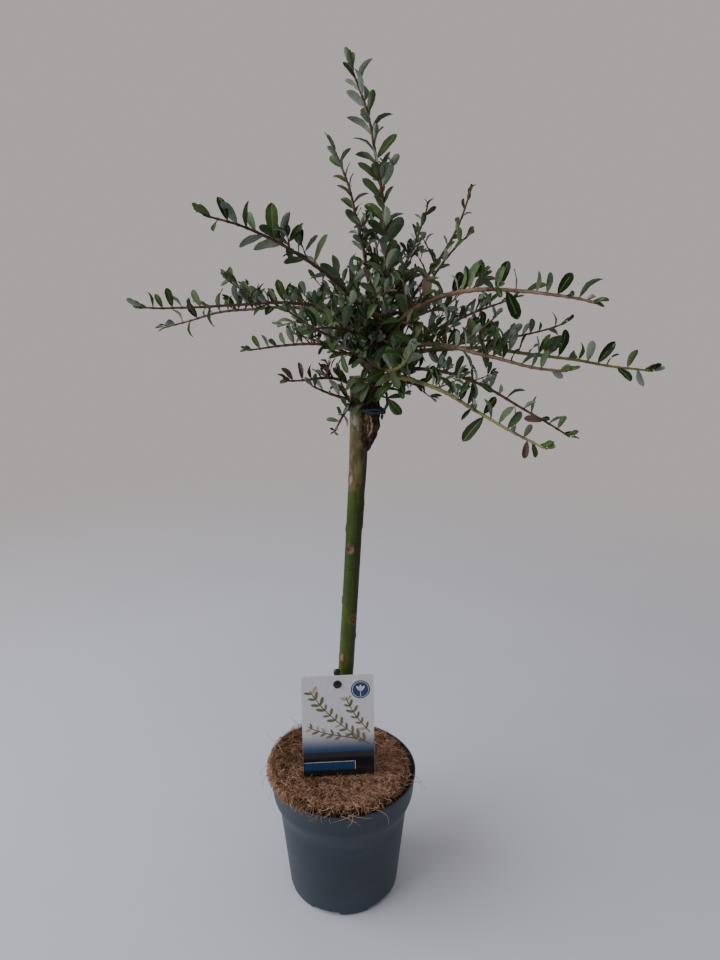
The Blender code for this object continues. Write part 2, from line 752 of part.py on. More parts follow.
def grow_twigs(mass, parts, profile, trees):
    """Side twigs to the left and right in turn, where they touch no other shoot."""
    rng = random.Random(SEED + mass.number)
    points, leaf_length = mass.runs[0]
    length = path_length(points)
    for index in range(mass.shoot.twigs):
        stray = rng.random() * TWIG_STRAY
        share = TWIG_FIRST + TWIG_STRETCH * (index + stray) / mass.shoot.twigs
        place, direction = along(points, share)
        level, upper = side_axes(direction)
        side = 1 if (index + mass.number) % 2 else -1
        heading = (direction * TWIG_FORWARD + level * side * TWIG_SIDEWAYS
                   + upper * rng.uniform(*TWIG_LIFT)).normalized()
        reach = min(TWIG_LENGTH_SHARE * length * (TWIG_LENGTH_END - share), TWIG_LONGEST)
        twig_points = [place - heading * TWIG_ROOT]
        for step in range(1, TWIG_STEPS + 1):
            grown = step / TWIG_STEPS
            twig_points.append(place + heading * (reach * grown)
                               + upper * (TWIG_BEND * grown**2 * reach))
        radii = taper(len(twig_points), TWIG_RADIUS, TWIG_TIP_RADIUS)
        name = f"twig_{mass.number}_{index}"
        twig = as_mesh(tube(name, twig_points, radii, parts, None, 0, profile))
        tree = object_tree(twig)
        if touches(tree, mass.name, trees):
            bpy.data.objects.remove(twig, do_unlink=True)
            continue
        trees.append((mass.name, tree))
        mass.objects.append(twig)
        mass.runs.append((twig_points, leaf_length * TWIG_LEAF_SHARE))


def grow_leaves(mass, parts, trees):
    """Leaves in a spiral up the stem and each twig, where they keep clear of other shoots."""
    rng = random.Random(1000 + SEED + mass.number)
    made = []
    for points, leaf_length in mass.runs:
        gap = leaf_length * LEAF_GROWTH * LEAF_STEP_SHARE
        count = max(FEWEST_LEAVES, int(path_length(points) / gap))
        turn = rng.uniform(0, 2 * math.pi)
        for index in range(count):
            share = (index + FIRST_LEAF) / count
            place, direction = along(points, min(share, LAST_LEAF_SHARE))
            turn += math.radians(LEAF_SPIRAL)
            size = leaf_length * LEAF_GROWTH * rng.uniform(*LEAF_SIZES)
            size *= 1 - LEAF_TIP_SHRINK * share**4
            stray = rng.uniform(*LEAF_SPREAD_STRAY)
            spread = math.radians(LEAF_SPREAD + stray - LEAF_TIP_CLOSE * share**4)
            root = STEM_TIP_RADIUS * LEAF_ROOT_SHARE
            bm = leaf_bmesh(size, leaf_frame(place, direction, turn, spread, root))
            tree = tree_of(bm, CLEARANCE_SCALE)
            if touches(tree, mass.name, trees):
                bm.free()
                continue
            made.append(tree)
            name = f"leaf_{mass.number}_{len(mass.objects)}"
            mass.objects.append(from_bmesh(name, bm, parts))
    trees.extend((mass.name, tree) for tree in made)


def make_crown(parts, cutters, fixed, clearances):
    """Every stem first, then every side twig, then the leaves that keep clear of them all."""
    twig_brown = material("bough_brown", (0.10, 0.045, 0.03), 0.6)
    leaf_green = material("leaf_green", (0.055, 0.11, 0.045), 0.5)
    leaf_dead = material("leaf_brown", (0.16, 0.085, 0.05), 0.8)
    profile = twig_profile(cutters)
    trees = [(obj.name, object_tree(obj)) for obj in fixed]
    masses = [grow_stem(number, shoot, parts, profile, twig_brown, clearances, trees)
              for number, shoot in enumerate(SHOOTS)]
    for mass in masses:
        grow_twigs(mass, parts, profile, trees)
    for mass in masses:
        grow_leaves(mass, parts, trees)
        mat = leaf_dead if mass.shoot.name == DEAD_SHOOT else leaf_green
        join_mass(mass.name, mass.objects, parts, mat)


def main():
    clear_scene()
    parts = new_collection("potted_creeping_willow")
    cutters = new_collection("cutters")
    make_pot(parts, cutters)
    make_soil(parts)
    make_coir(parts, cutters)
    trunk = make_trunk(parts)
    scion, clearances = make_scion(parts, cutters)
    tie = make_tie(parts)
    tag = make_tag(parts, cutters)
    holder = make_holder(parts, cutters)
    make_crown(parts, cutters, [trunk, scion, tie, tag, holder], clearances)
    for obj in parts.objects:
        if obj.type == "MESH":
            round_off(obj.data)


main()
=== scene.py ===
# %% [markdown]
# # A potted creeping willow
# A creeping willow is grafted on a short green stem, so that its shoots weep above a
# nursery pot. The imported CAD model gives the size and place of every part. This script
# loads it as a fixed frame and makes the surfaces that the plain solids stand for:
# bark, leaves, coir, moulded plastic and a printed tag. Blender could also start from
# an empty scene, but then each piece would have to be fitted to the solids by eye.

# %% Load the frame
import math
import random

import bmesh
import bpy
from mathutils import Matrix, Quaternion, Vector, noise


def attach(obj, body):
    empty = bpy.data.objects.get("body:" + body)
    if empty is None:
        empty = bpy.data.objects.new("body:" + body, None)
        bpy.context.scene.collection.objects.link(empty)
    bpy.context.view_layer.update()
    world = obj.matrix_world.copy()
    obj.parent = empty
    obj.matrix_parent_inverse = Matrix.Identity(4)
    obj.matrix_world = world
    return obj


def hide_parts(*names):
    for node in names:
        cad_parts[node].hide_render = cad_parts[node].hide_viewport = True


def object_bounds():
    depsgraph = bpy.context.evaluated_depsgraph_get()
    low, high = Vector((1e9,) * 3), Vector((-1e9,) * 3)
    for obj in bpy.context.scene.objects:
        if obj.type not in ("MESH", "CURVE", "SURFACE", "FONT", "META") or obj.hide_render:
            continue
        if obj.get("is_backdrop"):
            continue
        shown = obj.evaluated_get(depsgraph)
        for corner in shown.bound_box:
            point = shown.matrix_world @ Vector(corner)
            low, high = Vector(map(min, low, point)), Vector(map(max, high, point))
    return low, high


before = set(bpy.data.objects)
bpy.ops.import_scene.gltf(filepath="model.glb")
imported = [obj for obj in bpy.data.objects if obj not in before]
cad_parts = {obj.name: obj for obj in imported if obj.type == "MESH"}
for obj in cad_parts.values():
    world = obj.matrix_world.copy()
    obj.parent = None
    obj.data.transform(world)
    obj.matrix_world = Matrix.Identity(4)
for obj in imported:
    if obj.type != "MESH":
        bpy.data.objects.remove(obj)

MM = 0.001
cad_low, cad_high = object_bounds()
node_names = sorted(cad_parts)
print("CAD nodes:", len(node_names))

# %% [markdown]
# ## Camera, floor and light
# The plant is seen from a little above its crown with a wide lens, from close by, which
# is why the pot looks small and its rim opens to a broad ellipse. A wide lens and the
# tilt are set on a camera of our own. The floor is one large pale plane marked as stage,
# so that it isn't counted as part of the plant, and a big area light stands for a window
# up on the left. A single small lamp would also light it, but with hard shadows.

# %% Camera
CAMERA_PLACE = (0.0175, -0.634, 0.633)
CAMERA_TILT = 16.45
camera_data = bpy.data.cameras.new("camera")
camera_data.lens = 27.0
camera_data.sensor_width = 36.0
camera = bpy.data.objects.new("camera", camera_data)
camera.location = CAMERA_PLACE
camera.rotation_euler = (math.radians(90 - CAMERA_TILT), 0, 0)
bpy.context.scene.collection.objects.link(camera)
bpy.context.scene.camera = camera
print("camera at", CAMERA_PLACE, "tilted down", CAMERA_TILT, "degrees")


# %% Floor and light
def area_light(name, place, target, size, energy, colour):
    """A square soft light that points at a target."""
    data = bpy.data.lights.new(name, "AREA")
    data.size = size
    data.energy = energy
    data.color = colour
    light = bpy.data.objects.new(name, data)
    light.location = place
    aim = Vector(target) - Vector(place)
    light.rotation_euler = aim.to_track_quat("-Z", "Y").to_euler()
    light.visible_camera = False
    bpy.context.scene.collection.objects.link(light)
    return light


MIDDLE = (0.0, 0.0, 0.45)
area_light("window", (-1.85, -0.50, 1.45), MIDDLE, 2.6, 54.0, (1.0, 0.985, 0.96))
area_light("room", (0.9, -1.9, 1.2), MIDDLE, 1.6, 1.0, (0.95, 0.97, 1.0))

world = bpy.data.worlds.new("room_light")
world.use_nodes = True
sky = world.node_tree.nodes["Background"]
sky.inputs["Color"].default_value = (0.480, 0.434, 0.434, 1.0)
seen = world.node_tree.nodes.new("ShaderNodeLightPath")
direction = world.node_tree.nodes.new("ShaderNodeTexCoord")
split = world.node_tree.nodes.new("ShaderNodeSeparateXYZ")
from_above = world.node_tree.nodes.new("ShaderNodeMapRange")
from_above.inputs["From Max"].default_value = 0.9
from_above.inputs["To Min"].default_value = 0.43
from_above.inputs["To Max"].default_value = 1.10
level = world.node_tree.nodes.new("ShaderNodeMapRange")
level.inputs["To Max"].default_value = 1.0
world.node_tree.links.new(direction.outputs["Generated"], split.inputs["Vector"])
world.node_tree.links.new(split.outputs["Z"], from_above.inputs["Value"])
world.node_tree.links.new(from_above.outputs["Result"], level.inputs["To Min"])
world.node_tree.links.new(seen.outputs["Is Camera Ray"], level.inputs["Value"])
world.node_tree.links.new(level.outputs["Result"], sky.inputs["Strength"])
bpy.context.scene.world = world

floor_bm = bmesh.new()
bmesh.ops.create_grid(floor_bm, x_segments=1, y_segments=1, size=9.0)
floor_mesh = bpy.data.meshes.new("floor")
floor_bm.to_mesh(floor_mesh)
floor_bm.free()
floor = bpy.data.objects.new("floor", floor_mesh)
bpy.context.scene.collection.objects.link(floor)
floor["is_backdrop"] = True
print("two area lights and a floor of 18 m")

# %% [markdown]
# ## Shader groups for the effects that repeat
# Bark, leaf, coir and plastic all vary in patches and in fine grain. One node group does
# both: a noise on Object coordinates, stretched as each surface asks, gives a mask for
# colour and a height for bump. A second group gives separate specks, such as the pores
# in bark and dust on plastic. Groups keep the materials short, and one repair mends
# them all.


# %% Node helpers
def put(tree, kind, inputs=None, **properties):
    """Add a shader node, set its properties, and set or link its inputs by name."""
    node = tree.nodes.new("ShaderNode" + kind)
    for key, value in properties.items():
        setattr(node, key, value)
    for key, value in (inputs or {}).items():
        if isinstance(value, bpy.types.NodeSocket):
            tree.links.new(value, node.inputs[key])
        else:
            node.inputs[key].default_value = value
    return node


def new_group(name, inputs, outputs):
    """An empty shader group with named sockets, and its entry and exit nodes."""
    group = bpy.data.node_groups.new(name, "ShaderNodeTree")
    for label, kind, value in inputs:
        socket = group.interface.new_socket(label, in_out="INPUT",
                                            socket_type="NodeSocket" + kind)
        socket.default_value = value
    for label in outputs:
        group.interface.new_socket(label, in_out="OUTPUT", socket_type="NodeSocketFloat")
    entry = group.nodes.new("NodeGroupInput")
    leave = group.nodes.new("NodeGroupOutput")
    return group, entry.outputs, leave.inputs


def use_group(tree, group, **values):
    """Place a group in a material with its own values."""
    node = tree.nodes.new("ShaderNodeGroup")
    node.node_tree = group
    for key, value in values.items():
        node.inputs[key].default_value = value
    return node.outputs


print("helpers ready")

# %% The mottle group
mottle, entry, leave = new_group(
    "mottle",
    (("Scale", "Float", 40.0), ("Stretch", "Vector", (1.0, 1.0, 1.0)),
     ("Low", "Float", 0.35), ("High", "Float", 0.65)),
    ("Mask", "Height"))
coords = put(mottle, "TexCoord").outputs["Object"]
stretched = put(mottle, "Mapping", {"Vector": coords, "Scale": entry["Stretch"]})
cloud = put(mottle, "TexNoise", {"Vector": stretched.outputs["Vector"], "Scale": entry["Scale"],
                                 "Detail": 4.0, "Roughness": 0.6})
patches = put(mottle, "MapRange", {"Value": cloud.outputs["Fac"], "From Min": entry["Low"],
                                   "From Max": entry["High"]}, interpolation_type="SMOOTHSTEP")
mottle.links.new(patches.outputs["Result"], leave["Mask"])
mottle.links.new(cloud.outputs["Fac"], leave["Height"])
print("mottle:", len(mottle.nodes), "nodes")

# %% The specks group
specks, entry, leave = new_group(
    "specks",
    (("Scale", "Float", 300.0), ("Stretch", "Vector", (1.0, 1.0, 1.0)),
     ("Size", "Float", 0.2)),
    ("Mask",))
coords = put(specks, "TexCoord").outputs["Object"]
stretched = put(specks, "Mapping", {"Vector": coords, "Scale": entry["Stretch"]})
cells = put(specks, "TexVoronoi", {"Vector": stretched.outputs["Vector"],
                                   "Scale": entry["Scale"]})
inner = put(specks, "Math", {0: entry["Size"], 1: 0.6}, operation="MULTIPLY")
dots = put(specks, "MapRange", {"Value": cells.outputs["Distance"], "From Min": entry["Size"],
                                "From Max": inner.outputs["Value"]})
specks.links.new(dots.outputs["Result"], leave["Mask"])
print("specks:", len(specks.nodes), "nodes")

# %% The level group
level_mask, entry, leave = new_group(
    "level_mask",
    (("Low", "Float", 0.4), ("High", "Float", 0.45), ("Wander", "Float", 0.02)),
    ("Mask",))
coords = put(level_mask, "TexCoord").outputs["Object"]
height = put(level_mask, "SeparateXYZ", {"Vector": coords})
ripple = put(level_mask, "TexNoise", {"Vector": coords, "Scale": 60.0, "Detail": 3.0})
shift = put(level_mask, "Math", {0: ripple.outputs["Fac"], 1: 0.5}, operation="SUBTRACT")
moved = put(level_mask, "Math", {0: shift.outputs["Value"], 1: entry["Wander"],
                                 2: height.outputs["Z"]}, operation="MULTIPLY_ADD")
rise = put(level_mask, "MapRange", {"Value": moved.outputs["Value"], "From Min": entry["Low"],
                                    "From Max": entry["High"]},
           interpolation_type="SMOOTHSTEP")
level_mask.links.new(rise.outputs["Result"], leave["Mask"])
print("level_mask:", len(level_mask.nodes), "nodes")

# %% [markdown]
# ## Materials
# Most finishes here are two tones of one colour in soft patches, a roughness that varies
# a little, and a fine bump. One function builds that from a few values, and the special
# ones, such as the bark with its scars, add a layer or two on top. The Principled shader
# stays in each material, and what is constant is set straight on its sockets.


# %% A two-tone finish
def blend_colour(tree, factor, first, second):
    """Mix two colours, each a socket or a plain value, by a mask."""
    node = put(tree, "Mix", {0: factor}, data_type="RGBA")
    for index, value in ((6, first), (7, second)):
        if isinstance(value, bpy.types.NodeSocket):
            tree.links.new(value, node.inputs[index])
        else:
            node.inputs[index].default_value = (*value, 1.0)
    return node.outputs[2]


def two_tone(name, dark, light, scale, rough=(0.5, 0.6), relief=0.0, stretch=(1, 1, 1),
             spread=(0.35, 0.65), grain=6.0, specular=0.5):
    """A material of two tones in patches; returns it with its colour socket."""
    mat = bpy.data.materials.new(name)
    mat.use_nodes = True
    tree = mat.node_tree
    shader = tree.nodes["Principled BSDF"]
    shader.inputs["Specular IOR Level"].default_value = specular
    broad = use_group(tree, mottle, Scale=scale, Stretch=stretch, Low=spread[0],
                      High=spread[1])
    fine = use_group(tree, mottle, Scale=scale * grain, Stretch=stretch)
    both = put(tree, "Math", {0: fine["Mask"], 1: 0.3, 2: broad["Mask"]},
               operation="MULTIPLY_ADD", use_clamp=True)
    colour = blend_colour(tree, both.outputs["Value"], dark, light)
    tree.links.new(colour, shader.inputs["Base Color"])
    rough_map = put(tree, "MapRange", {"Value": fine["Mask"], "To Min": rough[0],
                                       "To Max": rough[1]})
    tree.links.new(rough_map.outputs["Result"], shader.inputs["Roughness"])
    if relief:
        bump = put(tree, "Bump", {"Height": fine["Height"], "Distance": relief})
        tree.links.new(bump.outputs["Normal"], shader.inputs["Normal"])
    return mat, colour


def layer_over(mat, colour, factor, top):
    """Lay a colour over a material's own by a mask."""
    tree = mat.node_tree
    mixed = blend_colour(tree, factor, colour, top)
    tree.links.new(mixed, tree.nodes["Principled BSDF"].inputs["Base Color"])
    return mixed


def attribute(mat, name):
    return put(mat.node_tree, "Attribute", attribute_name=name).outputs["Fac"]


floor_mat, floor_colour = two_tone("pale_floor", (0.64, 0.69, 0.80), (0.66, 0.71, 0.82), 2.0,
                                   (0.55, 0.65))
floor.data.materials.append(floor_mat)
floor_tree = floor_mat.node_tree
spread_out = put(floor_tree, "VectorMath",
                 {0: put(floor_tree, "TexCoord").outputs["Object"]}, operation="LENGTH")
fade_out = put(floor_tree, "MapRange",
               {"Value": spread_out.outputs["Value"], "From Min": 0.45, "From Max": 1.7,
                "To Min": 1.0, "To Max": 0.0}, interpolation_type="SMOOTHSTEP")
floor_tree.links.new(fade_out.outputs["Result"],
                     floor_tree.nodes["Principled BSDF"].inputs["Alpha"])
print("floor finish:", floor_mat.name, "which fades into the backdrop")

# %% [markdown]
# ## Putting a piece in the scene
# Every piece ends the same way: its bmesh becomes a mesh whose object sits at the
# origin, it rides on the one body of the plant, it takes the finishes it is given, and
# the CAD nodes that it stands for are hidden.


# %% Finish a piece
SHARP = math.radians(38)


def add_piece(name, bm, materials, nodes=(), sharp=SHARP):
    mesh = bpy.data.meshes.new(name)
    bm.to_mesh(mesh)
    bm.free()
    for mat in materials:
        mesh.materials.append(mat)
    mesh.shade_smooth()
    mesh.set_sharp_from_angle(angle=sharp)
    obj = bpy.data.objects.new(name, mesh)
    bpy.context.scene.collection.objects.link(obj)
    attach(obj, "root")
    if nodes:
        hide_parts(*nodes)
    triangles = sum(len(face.vertices) - 2 for face in mesh.polygons)
    print(f"{name}: {triangles} triangles, stands for {len(nodes)} nodes")
    return obj


def as_mesh(bm, name="template"):
    mesh = bpy.data.meshes.new(name)
    bm.to_mesh(mesh)
    bm.free()
    return mesh


def pour(bm, template, matrix=None):
    """Add a copy of a mesh to a bmesh, at a place."""
    copy = template.copy()
    if matrix:
        copy.transform(matrix)
    bm.from_mesh(copy)
    bpy.data.meshes.remove(copy)


def is_vert(item):
    return isinstance(item, bmesh.types.BMVert)


def is_edge(item):
    return isinstance(item, bmesh.types.BMEdge)


# %% [markdown]
# ## Limbs
# Trunk, twigs, tie and coir strands are all tubes along a path. A curve with a round
# bevel would do for a smooth one, but bark needs its own points to push in and out, so a
# circle is extruded from point to point instead. Each ring turns only as much as the
# path does, which keeps the tube from twisting, and a relief function may then move
# every point along its own outward direction and leave a mark there for the material.


# %% Extrude a limb
def turning_frames(points):
    """A matrix at each point whose Z runs along the path."""
    heading = Vector((0, 0, 1))
    rotation = Quaternion()
    frames = []
    for index, point in enumerate(points):
        before = points[max(index - 1, 0)]
        after = points[min(index + 1, len(points) - 1)]
        ahead = (after - before).normalized()
        rotation = heading.rotation_difference(ahead) @ rotation
        heading = ahead
        frames.append(Matrix.Translation(point) @ rotation.to_matrix().to_4x4())
    return frames


def limb(points, radii, sides, relief=None, marks=()):
    """A closed tube; relief(place, outward, share, around) gives a height and its marks."""
    bm = bmesh.new()
    layers = [bm.verts.layers.float.new(name) for name in marks]
    ring = bmesh.ops.create_circle(bm, segments=sides, radius=1.0)["verts"]
    edges = list(bm.edges)
    places = [place @ Matrix.Scale(radius, 4)
              for place, radius in zip(turning_frames(points), radii)]
    bmesh.ops.transform(bm, matrix=places[0], verts=ring)
    rings = [ring]
    for before, after in zip(places, places[1:]):
        made = bmesh.ops.extrude_edge_only(bm, edges=edges)["geom"]
        ring = [item for item in made if is_vert(item)]
        fresh = set(ring)
        edges = [item for item in made if is_edge(item) and fresh.issuperset(item.verts)]
        bmesh.ops.transform(bm, matrix=after @ before.inverted(), verts=ring)
        rings.append(ring)
    if relief:
        for index, ring in enumerate(rings):
            for step, vert in enumerate(ring):
                outward = (vert.co - points[index]).normalized()
                height, values = relief(vert.co, outward, index / (len(rings) - 1),
                                        step / sides)
                vert.co += outward * height
                for layer, value in zip(layers, values):
                    vert[layer] = value
    bmesh.ops.holes_fill(bm, edges=[e for e in bm.edges if e.is_boundary], sides=0)
    bmesh.ops.recalc_face_normals(bm, faces=bm.faces)
    return bm


# %% Walk along a path
def path_length(points):
    return sum((b - a).length for a, b in zip(points, points[1:]))


def along(points, share):
    """Place and direction at a share of a path's length."""
    goal = share * path_length(points)
    for a, b in zip(points, points[1:]):
        step = (b - a).length
        if goal <= step or b is points[-1]:
            return a.lerp(b, min(goal / step, 1.0)), (b - a).normalized()
        goal -= step


def evenly(points, step):
    """The same path with points a step apart."""
    count = max(3, round(path_length(points) / step))
    return [along(points, index / count)[0] for index in range(count + 1)]


def smoothed(values, passes):
    """Average each value with its neighbours a number of times; the ends stay."""
    for _ in range(passes):
        middle = [(a + b * 2 + c) / 4 for a, b, c in zip(values, values[1:], values[2:])]
        values = [values[0], *middle, values[-1]]
    return values


def stem_line(stations, step, passes):
    """Points and radii up a stem from its (height, sideways, radius) stations."""
    low, high = stations[0][0], stations[-1][0]
    count = round((high - low) / step)
    rows = []
    for index in range(count + 1):
        z = low + (high - low) * index / count
        for first, second in zip(stations, stations[1:]):
            if z <= second[0] + 1e-6:
                share = (z - first[0]) / (second[0] - first[0])
                x = first[1] + share * (second[1] - first[1])
                radius = first[2] + share * (second[2] - first[2])
                rows.append((z, x, radius))
                break
    sideways = smoothed([row[1] for row in rows], passes)
    radii = smoothed([row[2] for row in rows], passes)
    points = [Vector((x, 0, row[0])) * MM for row, x in zip(rows, sideways)]
    return points, [radius * MM for radius in radii]


print("limb tools ready")

# %% [markdown]
# ## The pot
# The real pot is a thin injection-moulded shell with a deep collar that stiffens the
# rim, a shoulder below it and a plain tapering body on six feet. A turned profile is how
# its mould was cut, so the profile is drawn once as a wire and spun into a closed shell
# with a real wall. The two corners that the eye catches are rounded with a bevel, and
# the gaps between the feet and the drain holes are then cut out.

# %% Spin the pot
POT_HEIGHT = 136 * MM
RIM = 75 * MM
COLLAR_FOOT = 72.6 * MM
SHOULDER = 66.5 * MM
BASE = 57 * MM
WALL = 1.6 * MM
FLOOR = 9 * MM
COLLAR_LEVEL = POT_HEIGHT - 26 * MM
NECK_LEVEL = POT_HEIGHT - 39 * MM
POT_STEPS = 144


def body_radius(z):
    """Outer radius of the tapering body at a height."""
    share = (z - 3 * MM) / (NECK_LEVEL - 3 * MM)
    return BASE + 0.5 * MM + share * (SHOULDER - BASE - 0.5 * MM)


def pot_profile():
    """Half a section of the pot, from the inside of its floor round to the underside."""
    lip = 0.35 * WALL
    line = [(0, FLOOR), (BASE - WALL + 0.7 * MM, FLOOR), (SHOULDER - WALL, NECK_LEVEL),
            (COLLAR_FOOT - WALL, COLLAR_LEVEL), (RIM - WALL, POT_HEIGHT - lip),
            (RIM - WALL + lip, POT_HEIGHT), (RIM - lip, POT_HEIGHT), (RIM, POT_HEIGHT - lip),
            (RIM - 0.05 * MM, POT_HEIGHT - 3 * MM), (RIM - 0.55 * MM, POT_HEIGHT - 3.6 * MM),
            (COLLAR_FOOT, COLLAR_LEVEL), (SHOULDER, NECK_LEVEL)]
    for ring in (84 * MM, 50 * MM):
        line += [(body_radius(ring + 1.4 * MM), ring + 1.4 * MM),
                 (body_radius(ring) + 0.03 * MM, ring),
                 (body_radius(ring - 1.4 * MM), ring - 1.4 * MM)]
    line += [(BASE + 0.5 * MM, 3 * MM), (BASE - 1.5 * MM, 0), (0, 0)]
    return line


def spun(profile, steps, closed=False):
    """Turn a (radius, height) wire once round the Z axis into a closed shell."""
    bm = bmesh.new()
    verts = [bm.verts.new((radius, 0, z)) for radius, z in profile]
    pairs = list(zip(verts, verts[1:] + verts[:1])) if closed else list(zip(verts, verts[1:]))
    edges = [bm.edges.new(pair) for pair in pairs]
    bmesh.ops.spin(bm, geom=verts + edges, axis=(0, 0, 1), cent=(0, 0, 0),
                   angle=2 * math.pi, steps=steps, use_merge=True)
    bmesh.ops.remove_doubles(bm, verts=bm.verts, dist=0.002 * MM)
    bmesh.ops.dissolve_degenerate(bm, edges=bm.edges, dist=0.001 * MM)
    bmesh.ops.recalc_face_normals(bm, faces=bm.faces)
    return bm


def ring_edges(bm, radius, height):
    """The edges of one turned corner."""
    found = []
    for edge in bm.edges:
        if all(abs(v.co.xy.length - radius) < 0.02 * MM and abs(v.co.z - height) < 0.02 * MM
               for v in edge.verts):
            found.append(edge)
    return found


pot_bm = spun(pot_profile(), POT_STEPS)
for radius, height, amount in ((COLLAR_FOOT, COLLAR_LEVEL, 5.5 * MM),
                               (SHOULDER, NECK_LEVEL, 6.0 * MM),
                               (BASE + 0.5 * MM, 3 * MM, 1.0 * MM)):
    corner = ring_edges(pot_bm, radius, height)
    bmesh.ops.bevel(pot_bm, geom=corner, offset=amount, segments=5, affect="EDGES",
                    profile=0.5, material=-1)
print("pot shell:", len(pot_bm.faces), "faces")

# %% Cut the feet and drain holes
FEET = 6
NOTCH_TURN = 12


def carve(bm, cutters):
    """Cut closed shapes out of a closed shape with Boolean modifiers, and apply them."""
    body = bpy.data.objects.new("body", as_mesh(bm))
    bpy.context.scene.collection.objects.link(body)
    tools = []
    for cutter in cutters:
        tool = bpy.data.objects.new("tool", as_mesh(cutter))
        bpy.context.scene.collection.objects.link(tool)
        cut = body.modifiers.new("cut", "BOOLEAN")
        cut.operation = "DIFFERENCE"
        cut.object = tool
        tools.append(tool)
    graph = bpy.context.evaluated_depsgraph_get()
    mesh = bpy.data.meshes.new_from_object(body.evaluated_get(graph))
    for obj in (body, *tools):
        bpy.data.objects.remove(obj, do_unlink=True)
    bm = bmesh.new()
    bm.from_mesh(mesh)
    bpy.data.meshes.remove(mesh)
    return bm


notches = []
for index in range(FEET):
    turn = Matrix.Rotation(math.radians(NOTCH_TURN + index * 360 / FEET), 4, "Z")
    block = bmesh.new()
    size = Matrix.Diagonal((24 * MM, 30 * MM, 10 * MM, 1))
    bmesh.ops.create_cube(block, size=1.0,
                          matrix=turn @ Matrix.Translation((BASE, 0, 0)) @ size)
    upright = [e for e in block.edges if abs(e.verts[0].co.z - e.verts[1].co.z) < MM
               and all(v.co.z > 0 for v in e.verts)]
    bmesh.ops.bevel(block, geom=upright, offset=1.2 * MM, segments=2, affect="EDGES",
                    profile=0.5, material=-1)
    notches.append(block)
    drain = bmesh.new()
    place = turn @ Matrix.Translation((BASE - 7.2 * MM, 0, FLOOR))
    bmesh.ops.create_cone(drain, cap_ends=True, segments=24, radius1=4 * MM, radius2=4 * MM,
                          depth=12 * MM, matrix=place)
    notches.append(drain)
pot_bm = carve(pot_bm, notches)
print("pot with feet:", len(pot_bm.faces), "faces")

# %% Pot plastic
pot_mat, pot_colour = two_tone("slate_plastic", (0.012, 0.023, 0.035), (0.018, 0.034, 0.051),
                               9.0, (0.42, 0.52), 0.00006, (1, 1, 2.2), grain=90.0)
scuffs = use_group(pot_mat.node_tree, mottle, Scale=14.0, Stretch=(1.0, 1.0, 2.6), Low=0.52,
                   High=0.80)
pot_colour = layer_over(pot_mat, pot_colour, scuffs["Mask"], (0.034, 0.056, 0.078))
dust = use_group(pot_mat.node_tree, specks, Scale=150.0, Size=0.06)
pot_colour = layer_over(pot_mat, pot_colour, dust["Mask"], (0.070, 0.076, 0.080))
pot = add_piece("pot_shell", pot_bm, [pot_mat], ["pot"])

# %% [markdown]
# ## The soil
# Dark potting compost shows only in the narrow gap beside the coir disc. It is spun like
# the pot, from a profile that follows the inside of the shell with a hair's gap, so that
# the two never run into each other. Its finish is crumbly.

# %% Fill the pot with soil
SOIL_LEVEL = 129.5 * MM
INSET = WALL + 0.4 * MM
flare = (RIM - COLLAR_FOOT) / (POT_HEIGHT - COLLAR_LEVEL)
soil_profile = [(0, SOIL_LEVEL),
                (COLLAR_FOOT - INSET + flare * (SOIL_LEVEL - COLLAR_LEVEL), SOIL_LEVEL),
                (COLLAR_FOOT - INSET, COLLAR_LEVEL), (SHOULDER - INSET, NECK_LEVEL),
                (BASE - INSET, FLOOR + 0.3 * MM), (0, FLOOR + 0.3 * MM)]
soil_bm = spun(soil_profile, POT_STEPS)
soil_mat, _ = two_tone("compost", (0.010, 0.007, 0.005), (0.035, 0.022, 0.014), 160.0,
                       (0.85, 1.0), 0.0012, spread=(0.3, 0.7), grain=3.0, specular=0.2)
add_piece("root_ball", soil_bm, [soil_mat], ["soil"])

# %% [markdown]
# ## The coir disc
# A disc of needled coconut fibre covers the soil. It is cut from a mat, so it is a pad
# of thousands of short stiff hairs that cross each other, with a frayed edge. It lies
# tilted: up on the rim at the left and down inside it at the right. A hair system would
# scatter the fibres, but the export wants plain meshes, so a dozen bent hairs are made
# as templates and copied by the thousand over a lumpy dark pad.

# %% Lumpy pad
COIR_PLACE = Vector((-4.5, 0, 138.8)) * MM
COIR_TILT = 4.0
COIR_RADIUS = 71 * MM
COIR_HALF = 3.6 * MM
HOLE_RADIUS = 10.2 * MM
HOLE_SHIFT = -1.4 * MM
disc_matrix = Matrix.Translation(COIR_PLACE) @ Matrix.Rotation(math.radians(COIR_TILT), 4, "Y")


def lumps(x, y):
    """Height of the pad's uneven top."""
    broad = noise.noise(Vector((x, y, 0.0)) * 55)
    fine = noise.noise(Vector((x, y, 0.3)) * 210)
    return (0.9 * broad + 0.5 * fine) * MM


pad_rings = 15
pad_line = [(HOLE_RADIUS + (COIR_RADIUS - 2 * MM - HOLE_RADIUS) * i / pad_rings, COIR_HALF)
            for i in range(pad_rings + 1)]
pad_line += [(COIR_RADIUS - 0.5 * MM, COIR_HALF - 1.3 * MM), (COIR_RADIUS, 0),
             (COIR_RADIUS - 0.7 * MM, -COIR_HALF + 1.2 * MM), (COIR_RADIUS - 3 * MM, -COIR_HALF),
             (HOLE_RADIUS, -COIR_HALF)]
pad_bm = spun(pad_line, 110, closed=True)
for vert in pad_bm.verts:
    reach = vert.co.xy.length
    if vert.co.z > -COIR_HALF + 2 * MM:
        vert.co.z += lumps(vert.co.x, vert.co.y) - 0.5 * MM
    if reach > COIR_RADIUS - 4 * MM:
        vert.co.xy *= 1 + 0.012 * noise.noise(vert.co * 160)
    vert.co.x += HOLE_SHIFT * max(0.0, 1 - reach / (40 * MM))
bmesh.ops.transform(pad_bm, matrix=disc_matrix, verts=pad_bm.verts)
